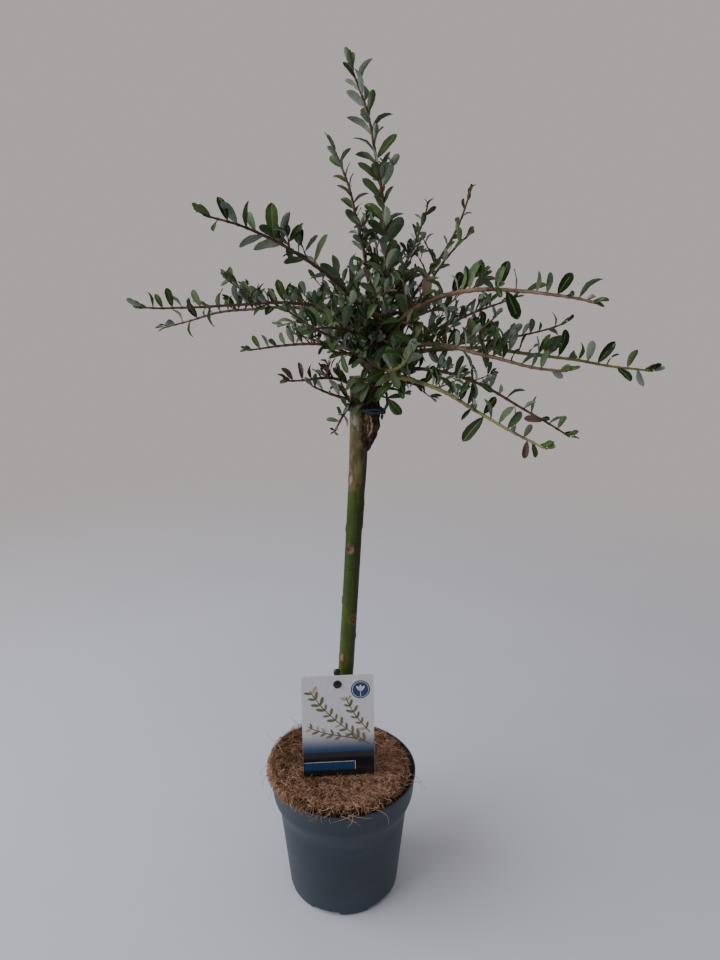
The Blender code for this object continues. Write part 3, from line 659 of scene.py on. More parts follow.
# The pad's near-black tone is painted shade, for the gaps deep between the hairs.
pad_shade_mat, _ = two_tone("coir_pad", (0.020, 0.010, 0.005), (0.075, 0.038, 0.021), 420.0,
                      (0.85, 1.0), 0.0015, grain=2.5, specular=0.15)
pad = add_piece("coir_pad", pad_bm, [pad_shade_mat], ["coir_disc"])

# %% Hair templates
HAIR_POINTS = 5
HAIR_SHAPES = 12
hair_rng = random.Random(31)


def hair(rng, thickness):
    """A bent hair one unit long that lies along X, with three sides."""
    bow = rng.uniform(-0.24, 0.24)
    lift = rng.uniform(-0.04, 0.14)
    wave = rng.uniform(0.0, 0.05)
    points = []
    for index in range(HAIR_POINTS):
        share = index / (HAIR_POINTS - 1)
        arch = 4 * share * (1 - share)
        ripple = wave * math.sin(share * 9)
        points.append(Vector((share - 0.5, bow * arch + ripple, lift * arch - lift / 2)))
    radii = [thickness * (1.0 - 0.45 * abs(index / (HAIR_POINTS - 1) - 0.4))
             for index in range(HAIR_POINTS)]
    return as_mesh(limb(points, radii, 3))


hairs = [hair(hair_rng, hair_rng.uniform(0.010, 0.018)) for _ in range(HAIR_SHAPES)]
print("hair templates:", len(hairs), "of", len(hairs[0].polygons), "faces")

# %% Scatter the hairs
TAG_PLACE = Vector((-3.2, -27.0, 145.8)) * MM
TAG_LEAN = 6.0
TAG_TURN = 4.0
TAG_ROLL = -0.4
TRUNK_FOOT = Vector((-6.0, 0, 140.0)) * MM
HAIR_COUNTS = {"shade": 2900, "middle": 4700, "light": 3200}


def tag_matrix():
    """The tag's own frame: X along its foot, Z up its height, -Y towards the viewer."""
    turn = Matrix.Rotation(math.radians(TAG_TURN), 4, "Z")
    lean = Matrix.Rotation(math.radians(-TAG_LEAN), 4, "X")
    roll = Matrix.Rotation(math.radians(TAG_ROLL), 4, "Y")
    return Matrix.Translation(TAG_PLACE) @ turn @ lean @ roll


def hair_matrix(rng, deep):
    """A random place and lie on the disc, in its own frame; deep hairs lie lower."""
    radius = math.sqrt(rng.uniform((11 * MM) ** 2, (71.5 * MM) ** 2))
    bearing = rng.uniform(0, 2 * math.pi)
    x, y = radius * math.cos(bearing), radius * math.sin(bearing)
    z = COIR_HALF + lumps(x, y) + rng.uniform(-0.7, 0.35 if deep else 0.9) * MM
    pitch = rng.gauss(0, 0.20)
    if rng.random() < 0.16:
        pitch = rng.uniform(0.4, 1.1)
    heading = rng.uniform(0, 2 * math.pi)
    if radius > 67 * MM:
        z -= rng.uniform(0, 2 * COIR_HALF - 1 * MM) if rng.random() < 0.7 else 0
        heading = bearing + rng.gauss(0, 0.8)
        pitch = rng.gauss(-0.2, 0.45)
    length = rng.uniform(7, 15) * MM
    return (Matrix.Translation((x, y, z)) @ Matrix.Rotation(heading, 4, "Z")
            @ Matrix.Rotation(-pitch, 4, "Y") @ Matrix.Rotation(rng.uniform(-1, 1), 4, "X")
            @ Matrix.Scale(length, 4)), length


def hair_is_clear(matrix):
    """Keep hairs out of the trunk and the tag, and inside the pot where the disc is low."""
    from_tag = tag_matrix().inverted()
    for end in (-0.5, 0.0, 0.5):
        place = matrix @ Vector((end, 0, 0))
        if (place - TRUNK_FOOT).xy.length < 9.6 * MM:
            return False
        local = from_tag @ place
        if abs(local.x) < 36 * MM and -0.8 * MM < local.y < 3.2 * MM and local.z > -1.5 * MM:
            return False
        if place.xy.length > 72.6 * MM and place.z < POT_HEIGHT + 1 * MM:
            return False
        if place.xy.length > 79 * MM:
            return False
    return True


def fringe_matrix(rng):
    """Where a hair hangs over the rim, on the side where the disc lies on it."""
    bearing = math.radians(rng.gauss(186, 25))
    radius = rng.uniform(73.6, 76.4) * MM
    x, y = radius * math.cos(bearing), radius * math.sin(bearing)
    middle = COIR_PLACE.z - (x - COIR_PLACE.x) * math.tan(math.radians(COIR_TILT))
    place = Matrix.Translation((x, y, middle + rng.uniform(-4.5, 1.0) * MM))
    droop = math.radians(rng.gauss(48, 16))
    return (place @ Matrix.Rotation(bearing + rng.gauss(0, 0.5), 4, "Z")
            @ Matrix.Rotation(droop, 4, "Y") @ Matrix.Scale(rng.uniform(7, 12) * MM, 4))


def clears_rim(matrix):
    for end in (-0.5, 0.0, 0.5):
        place = matrix @ Vector((end, 0, 0))
        if place.z < POT_HEIGHT + 0.4 * MM and place.xy.length < 75.4 * MM:
            return False
        if place.z < POT_HEIGHT - 7 * MM or place.xy.length > 80 * MM:
            return False
    return True


def tag_foot_matrix(rng):
    """A hair that stands up in front of the tag's foot."""
    place = tag_matrix() @ Matrix.Translation((rng.uniform(-36, 36) * MM,
                                               rng.uniform(-4.2, -1.6) * MM,
                                               rng.uniform(-2.6, 0.6) * MM))
    return (place @ Matrix.Rotation(rng.uniform(0, 2 * math.pi), 4, "Z")
            @ Matrix.Rotation(-rng.uniform(0.2, 1.1), 4, "Y")
            @ Matrix.Scale(rng.uniform(6, 10) * MM, 4))


hair_tones = {
    "shade": ((0.036, 0.016, 0.008), (0.10, 0.047, 0.026)),
    "middle": ((0.21, 0.107, 0.062), (0.38, 0.215, 0.135)),
    "light": ((0.48, 0.295, 0.190), (0.74, 0.51, 0.355)),
}
# Behind the tag on the left, part of the middle and light hairs are left out, so the pad is darker
# there.
DROPPED = {"shade": 0.0, "middle": 0.40, "light": 0.75}
for tone, count in HAIR_COUNTS.items():
    hair_rng = random.Random("coir " + tone)
    coat = bmesh.new()
    laid = 0
    while laid < count:
        matrix, length = hair_matrix(hair_rng, tone == "shade")
        matrix = disc_matrix @ matrix
        place = matrix.translation
        worn = place.x < -20 * MM and place.y > -42 * MM
        if worn and hair_rng.random() < DROPPED[tone]:
            continue
        template = hairs[hair_rng.randrange(HAIR_SHAPES)]
        if hair_is_clear(matrix):
            pour(coat, template, matrix)
            laid += 1
    for _ in range(count // 5):
        matrix = fringe_matrix(hair_rng)
        if clears_rim(matrix):
            pour(coat, hairs[hair_rng.randrange(HAIR_SHAPES)], matrix)
    for _ in range(count // 60):
        matrix = tag_foot_matrix(hair_rng)
        if hair_is_clear(matrix):
            pour(coat, hairs[hair_rng.randrange(HAIR_SHAPES)], matrix)
    tone_mat, _ = two_tone("coir_" + tone, *hair_tones[tone], 130.0, (0.7, 0.9), 0.0,
                           grain=4.0, specular=0.25)
    add_piece("coir_hairs_" + tone, coat, [tone_mat], ["coir_disc"])

# %% [markdown]
# A few long strands have come loose. They curl over the rim at the front and on the
# right, where they catch the eye against the dark plastic.

# %% Loose strands
STRANDS = (
    ((0, -74, 137.8), (8, -78.5, 138.8), (14, -80.5, 136.5), (18, -81.5, 132.5)),
    ((6, -73, 138.2), (15, -77, 139.8), (22, -79, 138.6), (29, -78, 139.8)),
    ((10, -74, 137.8), (12, -79, 139.6), (10, -81.5, 135.8), (6, -82, 132.4)),
    ((16, -72, 138.0), (8, -77, 139.6), (0, -79.5, 138.4), (-8, -80.4, 136.2)),
    ((12, -71, 138.4), (6, -76, 138.4), (1, -79, 136.6), (-4, -80, 137.6)),
    ((33, -66, 138.0), (41, -71, 140.5), (46, -77, 138.6), (44, -81, 134.8)),
    ((66, -22, 136.5), (73, -26, 139.6), (80, -30, 138.0), (84, -33, 134.6)),
    ((69, -14, 137.0), (76, -19, 139.0), (82, -27, 136.2), (78, -33, 134.4)),
    ((64, -30, 137.0), (72, -31, 140.6), (79, -27, 140.0), (85, -27, 137.0)),
    ((-74, -8, 144.0), (-80, -11, 145.0), (-84, -13, 141.5), (-84, -15, 136.5)),
    ((-70, 22, 145.2), (-77, 27, 148.0), (-81, 29, 150.6), (-83, 33, 151.0)),
    ((-72, -20, 143.6), (-79, -24, 142.6), (-81, -27, 138.2), (-79, -30, 134.8)),
    ((-64, -38, 142.8), (-69, -45, 141.6), (-72, -47, 137.2), (-71, -50, 133.8)),
    ((-50, 54, 144.4), (-54, 60, 148.2), (-59, 63, 149.2), (-63, 62, 151.8)),
    ((-20, -71, 141.0), (-22, -76, 140.8), (-27, -78, 136.8), (-31, -76.6, 133.9)),
    ((-40, -30, 146.2), (-45, -36, 150.2), (-52, -38, 151.2), (-56, -43, 148.4)),
    ((22, -44, 142.2), (27, -47, 147.2), (32, -46, 149.0), (37, -49, 147.0)),
)


def bezier(corners, count):
    """Points on the cubic curve of four corners."""
    a, b, c, d = corners
    line = []
    for index in range(count + 1):
        t = index / count
        s = 1 - t
        line.append(a * s**3 + b * (3 * s * s * t) + c * (3 * s * t * t) + d * t**3)
    return line


strand_bm = bmesh.new()
for number, row in enumerate(STRANDS):
    line = bezier([Vector(corner) * MM for corner in row], 14)
    radii = [(0.26 - 0.14 * index / 14) * MM for index in range(15)]
    pour(strand_bm, as_mesh(limb(line, radii, 4)))
strand_mat, _ = two_tone("coir_strand", (0.24, 0.14, 0.09), (0.44, 0.31, 0.21), 90.0,
                         (0.6, 0.8), 0.0, specular=0.3)
add_piece("coir_strands", strand_bm, [strand_mat], ["coir_disc"])

# %% [markdown]
# ## The trunk
# The rootstock is one straight young stem. Its bark is smooth and bright green low down
# and turns grey-olive towards the graft, where it is older and rougher. Buds were rubbed
# off along it and left oval scars with a raised rim. A long tube is cut into many
# rings, and one relief function pushes in the scars, ridges and knots and writes a mark
# at each point, so that the material knows where the scars are without any painting.
# One mark darkens the right side of the trunk, away from the window: that is painted shade.

# %% Trunk stations and scars
TRUNK_STATIONS = (
    (129.8, -6.2, 11.2), (136, -6.2, 9.7), (150, -5, 8.4), (190, -2, 7.9), (250, 3.6, 7.6),
    (340, 8.8, 7.4), (410, 12.6, 7.5), (455, 15.4, 8.0), (490, 16.6, 8.5), (515, 16.2, 7.8),
    (532, 15.4, 6.7), (541, 15, 5.6),
)
# Height, bearing from +X, half height, half width (all mm or degrees), and how pale inside.
SCARS = (
    (448, -140, 6.4, 3.2, 0.75), (413, -12, 12.0, 2.6, 0.0), (380, -110, 4.4, 4.0, 0.25),
    (325, 178, 3.0, 2.0, 0.0), (308, -52, 5.6, 3.9, 0.05), (267, -134, 5.4, 3.4, 0.45),
    (226, 60, 4.6, 3.4, 0.2), (186, 130, 4.2, 3.0, 0.3), (352, 92, 4.8, 3.4, 0.2),
    (398, 150, 4.4, 3.0, 0.5), (286, 30, 4.2, 3.0, 0.1), (204, -40, 3.2, 2.4, 0.1),
    (462, 118, 6.0, 3.2, 0.3), (236, -150, 2.6, 2.0, 0.0),
)


def angle_between(first, second):
    """The turn from one bearing to another, from -180 to 180."""
    return (first - second + 180) % 360 - 180


def nearness(value, middle, half):
    """One at the middle of a range, and nothing past its half width."""
    return max(0.0, 1 - abs(value - middle) / half)


def trunk_relief(place, outward, share, around):
    """Ridges, grain and scars; marks are scar, heart, cut wood, pitted, worn and painted shade on the
    right side.
    """
    z = place.z / MM
    bearing = math.degrees(math.atan2(outward.y, outward.x))
    old = min(max((z - 400) / 60, 0.0), 1.0)
    height = 0.22 * noise.noise(Vector((outward.x * 2.2, outward.y * 2.2, z / 55)))
    height += (0.06 + 0.22 * old) * noise.noise(Vector((outward.x * 7, outward.y * 7, z / 9)))
    height += (0.03 + 0.10 * old) * noise.noise(Vector((outward.x * 18, outward.y * 18, z / 4)))
    scar = heart = 0.0
    for level, turn, tall, wide, pale in SCARS:
        across = angle_between(bearing, turn) * math.radians(1) * 7.6 / wide
        away = math.hypot((z - level) / tall, across)
        if away < 1.6:
            wobble = away * (1 + 0.16 * noise.noise(place * 900))
            rim = math.exp(-((wobble - 0.95) / 0.28) ** 2)
            hollow = max(0.0, 1 - wobble / 0.85)
            height += 0.75 * rim - 0.75 * min(hollow * 2, 1.0)
            if level == 325:
                height += 1.1 * max(0.0, 1 - wobble)
            scar = max(scar, min(max((1.25 - wobble) * 3, 0.0), 1.0))
            heart = max(heart, pale * min(max((0.8 - wobble) * 4, 0.0), 1.0))
    wood = min(max((z - 533) / 5, 0.0), 1.0)
    off_graft = angle_between(bearing, -48) / 46
    pitted = max(0.0, 1 - abs(off_graft)) * min(nearness(z, 502, 32) * 2, 1.0)
    height -= 0.5 * pitted * max(0.0, noise.noise(place * 420) + 0.1)
    worn = nearness(angle_between(bearing, -112), 0, 34) * min(nearness(z, 501, 9) * 2, 1.0)
    # Painted shade, with some darker bark in it: the right side, away from the window, is darkened in
    # patches all the way up.
    painted_shade_side = nearness(angle_between(bearing, 0), 0, 74)
    painted_shade_side *= 0.8 + 0.7 * noise.noise(Vector((bearing / 16, z / 26, 4)))
    return height * MM, (scar, heart, wood, pitted, worn, min(painted_shade_side * 1.9, 1.0))


trunk_points, trunk_radii = stem_line(TRUNK_STATIONS, 1.5, 12)
trunk_bm = limb(trunk_points, trunk_radii, 64, trunk_relief,
                ("scar", "heart", "wood", "pitted", "worn", "painted_shade_side"))
print("trunk rings:", len(trunk_points))

# %% Trunk bark
bark_mat, bark_colour = two_tone("stem_bark", (0.024, 0.046, 0.002), (0.052, 0.084, 0.003),
                                 55.0, (0.42, 0.58), 0.00022, (1, 1, 0.35), grain=9.0,
                                 specular=0.35)
tree = bark_mat.node_tree
old_bark = use_group(tree, mottle, Scale=150.0, Stretch=(1.0, 1.0, 0.45), Low=0.34, High=0.66)
grey = blend_colour(tree, old_bark["Mask"], (0.066, 0.054, 0.020), (0.180, 0.150, 0.062))
above = use_group(tree, level_mask, Low=0.430, High=0.441, Wander=0.03)
bark_colour = layer_over(bark_mat, bark_colour, above["Mask"], grey)
streak = use_group(tree, mottle, Scale=34.0, Stretch=(1.0, 1.0, 0.2), Low=0.55, High=0.8)
dull = put(tree, "Math", {0: streak["Mask"], 1: 0.45}, operation="MULTIPLY")
bark_colour = layer_over(bark_mat, bark_colour, dull.outputs["Value"], (0.078, 0.082, 0.020))
pores = use_group(tree, specks, Scale=260.0, Stretch=(1.0, 1.0, 1.7), Size=0.17)
bark_colour = layer_over(bark_mat, bark_colour, pores["Mask"], (0.15, 0.15, 0.055))
# Painted shade on the right side of the trunk, away from the window.
bark_colour = layer_over(bark_mat, bark_colour, attribute(bark_mat, "painted_shade_side"),
                         (0.018, 0.016, 0.005))
scar_tone = use_group(tree, mottle, Scale=420.0, Low=0.35, High=0.6)
scar_brown = blend_colour(tree, scar_tone["Mask"], (0.030, 0.015, 0.010), (0.17, 0.085, 0.045))
bark_colour = layer_over(bark_mat, bark_colour, attribute(bark_mat, "scar"), scar_brown)
bark_colour = layer_over(bark_mat, bark_colour, attribute(bark_mat, "heart"),
                         (0.32, 0.25, 0.17))
pits = use_group(tree, mottle, Scale=330.0, Stretch=(1.0, 1.0, 0.6), Low=0.44, High=0.54)
for mark, level, tone in (("pitted", 1.0, (0.034, 0.021, 0.012)), ("worn", 0.6, (0.25, 0.26, 0.235))):
    share = put(tree, "Math", {0: attribute(bark_mat, mark), 1: 2.2 * level},
                operation="MULTIPLY", use_clamp=True)
    patchy = put(tree, "Math", {0: share.outputs["Value"], 1: pits["Mask"]}, operation="MULTIPLY")
    bark_colour = layer_over(bark_mat, bark_colour, patchy.outputs["Value"], tone)
cut_wood = blend_colour(tree, scar_tone["Mask"], (0.22, 0.15, 0.060), (0.42, 0.32, 0.17))
bark_colour = layer_over(bark_mat, bark_colour, attribute(bark_mat, "wood"), cut_wood)
trunk = add_piece("trunk_bark", trunk_bm, [bark_mat], ["trunk"])

# %% [markdown]
# ## The graft
# Where the weeping willow was let into the side of the stem, the wound has closed with
# callus: a dark corky swelling, split lengthwise so that pale wood shows in the crack.
# Above it the head is a knuckle of brown bark from which every shoot springs. It is the
# same kind of tube as the trunk, with a coarser relief, and it sinks into the trunk as
# the grown-together wood does.

# %% Callus and head
SCION_STATIONS = (
    (470, 21.4, 1.6), (478, 22.8, 4.2), (484, 24.6, 6.4), (497, 26.4, 9.0), (508, 27.2, 8.1),
    (520, 28.2, 6.6), (540, 32, 6.2), (560, 36.2, 6.0), (578, 38.6, 5.2), (590, 40.2, 3.4),
)


SPLIT_LEVEL = 498
SPLIT_BEARING = -109


def callus_relief(place, outward, share, around):
    """Corky lumps round a lens-shaped split; the marks are its lip, its wood and the cork."""
    z = place.z / MM
    bearing = math.degrees(math.atan2(outward.y, outward.x))
    cork = min(max((530 - z) / 8, 0.0), 1.0)
    rough = noise.fractal(place * 190, 0.8, 2.1, 4)
    fine = noise.noise(place * 900)
    height = (0.35 + 0.75 * cork) * rough + 0.20 * fine
    level = (z - SPLIT_LEVEL) / 12.5
    middle = SPLIT_BEARING + 9 * math.sin((z - 486) / 6) + 7 * noise.noise(Vector((z / 3, 0, 0)))
    width = 22 * math.sqrt(max(0.0, 1 - level**2)) + 1
    across = angle_between(bearing, middle) / width
    fade = min(max((1 - abs(level)) * 4, 0.0), 1.0)
    inside = min(max((1 - abs(across)) * 4, 0.0), 1.0) * fade
    broken = min(max(0.6 + 1.6 * noise.noise(place * 330), 0.0), 1.0)
    lip = (math.exp(-((across - 1) / 0.26) ** 2) * min(broken + 0.45, 1.0)
           + math.exp(-((across + 1) / 0.30) ** 2) * broken * 0.6
           + math.exp(-((across + 0.25 + 0.3 * level) / 0.20) ** 2) * broken) * fade
    streak = noise.noise(Vector((bearing / 4, z / 11, 0)))
    height += 0.9 * min(lip, 1.0) - 1.4 * inside + 0.6 * inside * streak
    cavity = max(0.0, 1 - math.hypot((z - 519) / 7, angle_between(bearing, -88) / 40))
    height -= 2.2 * cavity
    lip = min(lip * (0.9 + 0.5 * fine) + 0.5 * inside * max(streak, 0.0), 1.0)
    return height * MM, (lip, inside, cork * (1 - inside))


scion_points, scion_radii = stem_line(SCION_STATIONS, 0.8, 10)
scion_bm = limb(scion_points, scion_radii, 96, callus_relief, ("lip", "inside", "cork"))
callus_mat, callus_colour = two_tone("callus_bark", (0.026, 0.015, 0.009),
                                     (0.095, 0.056, 0.036), 190.0, (0.7, 0.9), 0.0005,
                                     (1, 1, 0.6), grain=4.0, specular=0.3)
corky = use_group(callus_mat.node_tree, mottle, Scale=260.0, Stretch=(1.0, 1.0, 0.5), Low=0.36,
                  High=0.60)
cork_factor = put(callus_mat.node_tree, "Math", {0: corky["Mask"],
                                                 1: attribute(callus_mat, "cork")},
                  operation="MULTIPLY")
callus_colour = layer_over(callus_mat, callus_colour, cork_factor.outputs["Value"],
                           (0.008, 0.005, 0.004))
callus_colour = layer_over(callus_mat, callus_colour, attribute(callus_mat, "inside"),
                           (0.085, 0.042, 0.024))
callus_colour = layer_over(callus_mat, callus_colour, attribute(callus_mat, "lip"),
                           (0.42, 0.31, 0.18))
scion = add_piece("graft_callus", scion_bm, [callus_mat], ["scion"])

# %% Knot on the stub
stub_bm = bmesh.new()
bmesh.ops.create_icosphere(stub_bm, subdivisions=4, radius=1.0)
for vert in stub_bm.verts:
    vert.co *= 1 + 0.30 * noise.fractal(vert.co * 1.7, 0.9, 2.0, 3)
stub_place = Matrix.Translation(Vector((9.6, -4.2, 535.5)) * MM)
bmesh.ops.transform(stub_bm, matrix=stub_place @ Matrix.Diagonal((2.8 * MM, 3.0 * MM, 4.8 * MM, 1)),
                    verts=stub_bm.verts)
knot_mat, _ = two_tone("knot_bark", (0.045, 0.020, 0.010), (0.17, 0.082, 0.036), 320.0,
                       (0.7, 0.9), 0.0005, grain=3.0, specular=0.3)
add_piece("stub_knot", stub_bm, [knot_mat], ["trunk"])

# %% [markdown]
# ## The graft tie
# The union was bound with a soft blue tie, which is stretched, twisted and knotted at
# the right with its tail up. Three turns of a thin band are laid side by side. A ribbed
# tube that is wider than thick gives the twist of the stretched band.

# %% Wind the tie
TIE_CENTRE = 21.8
TIE_HALF_LENGTH = 15.1
TIE_HALF_WIDTH = 10.5


def tie_relief(place, outward, share, around):
    """Two ribs that run round the band as it twists."""
    return 0.28 * MM * math.cos(2 * math.pi * (2 * around + 16 * share)), ()


def tie_turn(height, climb, start, end, grow, tail):
    """One turn round both stems, with an optional tail of corners in millimetres."""
    line = []
    for index in range(49):
        share = index / 48
        angle = math.radians(start + (end - start) * share)
        line.append(Vector((TIE_CENTRE + (TIE_HALF_LENGTH + grow) * math.cos(angle),
                            (TIE_HALF_WIDTH + grow) * math.sin(angle),
                            height + climb * share - 1.6 * math.cos(angle)
                            + 1.0 * math.sin(angle * 4 + height * 1.3))) * MM)
    if tail:
        line += bezier([line[-1]] + [Vector(corner) * MM for corner in tail], 12)[1:]
    return line


tie_bm = bmesh.new()
TURNS = (
    (509.4, 2.4, 10, 345, 0.2, ((39.6, -3.8, 511), (43.6, -4.6, 516), (40.4, -5.6, 528))),
    (511.8, 1.6, -8, 350, 0.8, ((40.0, -4.6, 511), (42.4, -5.4, 517), (42.0, -5.8, 523))),
    (514.4, -2.6, 14, 352, 0.4, ((38.6, 1.2, 507), (36.4, 2.4, 504.5), (37.6, 4.0, 501.6))),
)
for height, climb, start, end, grow, tail in TURNS:
    line = evenly(tie_turn(height, climb, start, end, grow, tail), 0.9 * MM)
    radii = [1.1 * MM] * (len(line) - 2) + [0.9 * MM, 0.5 * MM]
    pour(tie_bm, as_mesh(limb(line, radii, 10, tie_relief)))
knot_line = [Vector((37.6 + 2.0 * math.cos(a / 4), 2.4 * math.sin(a / 4) - 1.6,
                     510.4 + 1.8 * math.sin(a / 2))) * MM for a in range(26)]
pour(tie_bm, as_mesh(limb(evenly(knot_line, 0.7 * MM), [1.0 * MM] * 200, 10)))
upper_line = []
for index in range(41):
    angle = 2 * math.pi * index / 40
    upper_line.append(Vector((23.2 + 14.6 * math.cos(angle), 7.0 * math.sin(angle),
                              538.0 - 2.4 * math.cos(angle))) * MM)
upper_line = evenly(upper_line, 0.9 * MM)
pour(tie_bm, as_mesh(limb(upper_line, [0.8 * MM] * len(upper_line), 10, tie_relief)))
tie_mat, _ = two_tone("tie_blue", (0.004, 0.013, 0.026), (0.018, 0.046, 0.078), 240.0,
                      (0.38, 0.55), 0.0002, grain=4.0)
add_piece("tie_band", tie_bm, [tie_mat], ["graft_tie"])

# %% [markdown]
# ## The tag and its stake
# A thin plastic picture tag stands in the coir on a black stake. The stake's stud pokes
# through the hole in the tag, and its round head shows above the top edge. The CAD tag
# has the right outline, so it stays and gets a glossy finish. The print is a set of very
# thin plates in front of it, each a colour of its own: a pale field that fades to blue,
# a dark foot with a bar and thin rules, a plain roundel, and a leafy sprig.

# %% Stake
black_mat, _ = two_tone("stake_black", (0.003, 0.003, 0.004), (0.008, 0.008, 0.010), 60.0,
                        (0.22, 0.34), 0.00005, grain=12.0)
TAG_HEIGHT = 107 * MM
TAG_FRONT = -0.3 * MM
BEHIND = 0.6 * MM
stake_bm = bmesh.new()
size = Matrix.Diagonal((6 * MM, 2 * MM, TAG_HEIGHT + 4.4 * MM, 1))
place = Matrix.Translation((0, BEHIND + 1 * MM, (TAG_HEIGHT - 0.4 * MM) / 2))
bmesh.ops.create_cube(stake_bm, size=1.0, matrix=place @ size)
bmesh.ops.bevel(stake_bm, geom=stake_bm.edges[:], offset=0.5 * MM, segments=3, affect="EDGES",
                profile=0.5, material=-1)
stud = (
    ((0, -BEHIND - 0.5 * MM, TAG_HEIGHT - 9 * MM), (4.1 * MM, 0.9 * MM, 4.1 * MM)),
    ((0, BEHIND + 2 * MM, TAG_HEIGHT + 2 * MM), (3.6 * MM, 2.6 * MM, 3.6 * MM)),
)
for centre, half in stud:
    bmesh.ops.create_uvsphere(stake_bm, u_segments=32, v_segments=16, radius=1.0,
                              matrix=Matrix.Translation(centre) @ Matrix.Diagonal((*half, 1)))
shank = Matrix.Translation((0, 0, TAG_HEIGHT - 9 * MM)) @ Matrix.Rotation(math.pi / 2, 4, "X")
bmesh.ops.create_cone(stake_bm, cap_ends=True, segments=24, radius1=2.3 * MM, radius2=2.3 * MM,
                      depth=2.2 * MM, matrix=shank)
bmesh.ops.transform(stake_bm, matrix=tag_matrix(), verts=stake_bm.verts)
add_piece("tag_stake", stake_bm, [black_mat], ["tag_holder"])

# %% Tag card
card_mat, _ = two_tone("tag_plastic", (0.66, 0.67, 0.69), (0.72, 0.73, 0.75), 30.0,
                       (0.25, 0.35), 0.00004, grain=10.0)
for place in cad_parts["tag"].material_slots:
    place.material = card_mat
print("tag slots:", len(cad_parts["tag"].material_slots))

# %% Print plates
PLATE = 0.05 * MM


def ink(name, colour, rough=0.3):
    """A flat printed colour with the faint grain of the card."""
    mat, socket = two_tone(name, colour, [min(c * 1.12 + 0.002, 1.0) for c in colour], 320.0,
                           (rough, rough + 0.08), 0.00003, grain=3.0)
    return mat, socket


def plate(bm, layer, outline_matrix, kind="box", corner=0.0, material=0):
    """A thin plate in the tag's plane; its shape is a unit square or a disc."""
    flat = bmesh.new()
    if kind == "box":
        bmesh.ops.create_grid(flat, x_segments=1, y_segments=1, size=0.5)
    else:
        bmesh.ops.create_circle(flat, cap_ends=True, segments=28, radius=0.5)
    bmesh.ops.transform(flat, matrix=outline_matrix, verts=flat.verts)
    if corner:
        bmesh.ops.bevel(flat, geom=flat.verts[:], offset=corner, segments=4,
                        affect="VERTICES", profile=0.5, material=-1)
    made = bmesh.ops.extrude_face_region(flat, geom=flat.faces[:])["geom"]
    bmesh.ops.translate(flat, vec=(0, 0, PLATE), verts=[v for v in made if is_vert(v)])
    bmesh.ops.recalc_face_normals(flat, faces=flat.faces)
    to_front = Matrix.Rotation(math.pi / 2, 4, "X")
    lift = Matrix.Translation((0, TAG_FRONT - layer * PLATE, 0))
    bmesh.ops.transform(flat, matrix=lift @ to_front, verts=flat.verts)
    for face in flat.faces:
        face.material_index = material
    pour(bm, as_mesh(flat))


def spot(x, z, wide, tall, turn=0.0):
    """Where a unit shape goes on the tag, in millimetres and degrees."""
    return (Matrix.Translation(Vector((x, z, 0)) * MM)
            @ Matrix.Rotation(math.radians(turn), 4, "Z")
            @ Matrix.Diagonal((wide * MM, tall * MM, 1, 1)))


# %% Lay out the print
INKS = (
    ("print_field", (0.60, 0.60, 0.64)), ("print_deep_blue", (0.006, 0.040, 0.125)),
    ("print_dark", (0.008, 0.008, 0.011)), ("print_white", (0.60, 0.62, 0.66)),
    ("print_stem", (0.060, 0.036, 0.034)), ("print_leaf_olive", (0.16, 0.15, 0.065)),
    ("print_leaf_green", (0.10, 0.15, 0.040)), ("print_leaf_cream", (0.40, 0.34, 0.22)),
)
inks = []
for name, colour in INKS:
    mat, socket = ink(name, colour)
    if name == "print_field":
        fade = use_group(mat.node_tree, level_mask, Low=0.197, High=0.172, Wander=0.0)
        layer_over(mat, socket, fade["Mask"], (0.006, 0.045, 0.135))
    inks.append(mat)

print_bm = bmesh.new()
plate(print_bm, 0, spot(0, 53.5, 70.8, 106.8), corner=2.9 * MM, material=0)
plate(print_bm, 1, spot(0, 10.0, 70.8, 19.8), corner=2.9 * MM, material=2)
plate(print_bm, 1, spot(0, 18.0, 70.8, 16.0), material=2)
plate(print_bm, 2, spot(-9.6, 10.6, 49.6, 7.8), material=1)
plate(print_bm, 3, spot(-9.6, 15.4, 49.6, 0.55), material=3)
plate(print_bm, 3, spot(16.2, 11.2, 0.55, 9.0), material=3)
plate(print_bm, 1, spot(22.5, 91.5, 19.0, 19.0), "disc", material=1)
plate(print_bm, 2, spot(22.5, 91.5, 16.6, 16.6), "disc", material=3)
plate(print_bm, 3, spot(22.5, 91.5, 15.6, 15.6), "disc", material=1)
for turn in (-38, 0, 38):
    lean = math.radians(turn)
    plate(print_bm, 4, spot(22.5 + 3.2 * math.sin(lean), 90.0 + 3.2 * math.cos(lean), 2.5, 6.6,
                            -turn), "disc", material=3)
plate(print_bm, 4, spot(22.5, 87.0, 0.6, 5.0), material=3)
print("plates so far:", len(print_bm.faces), "faces")

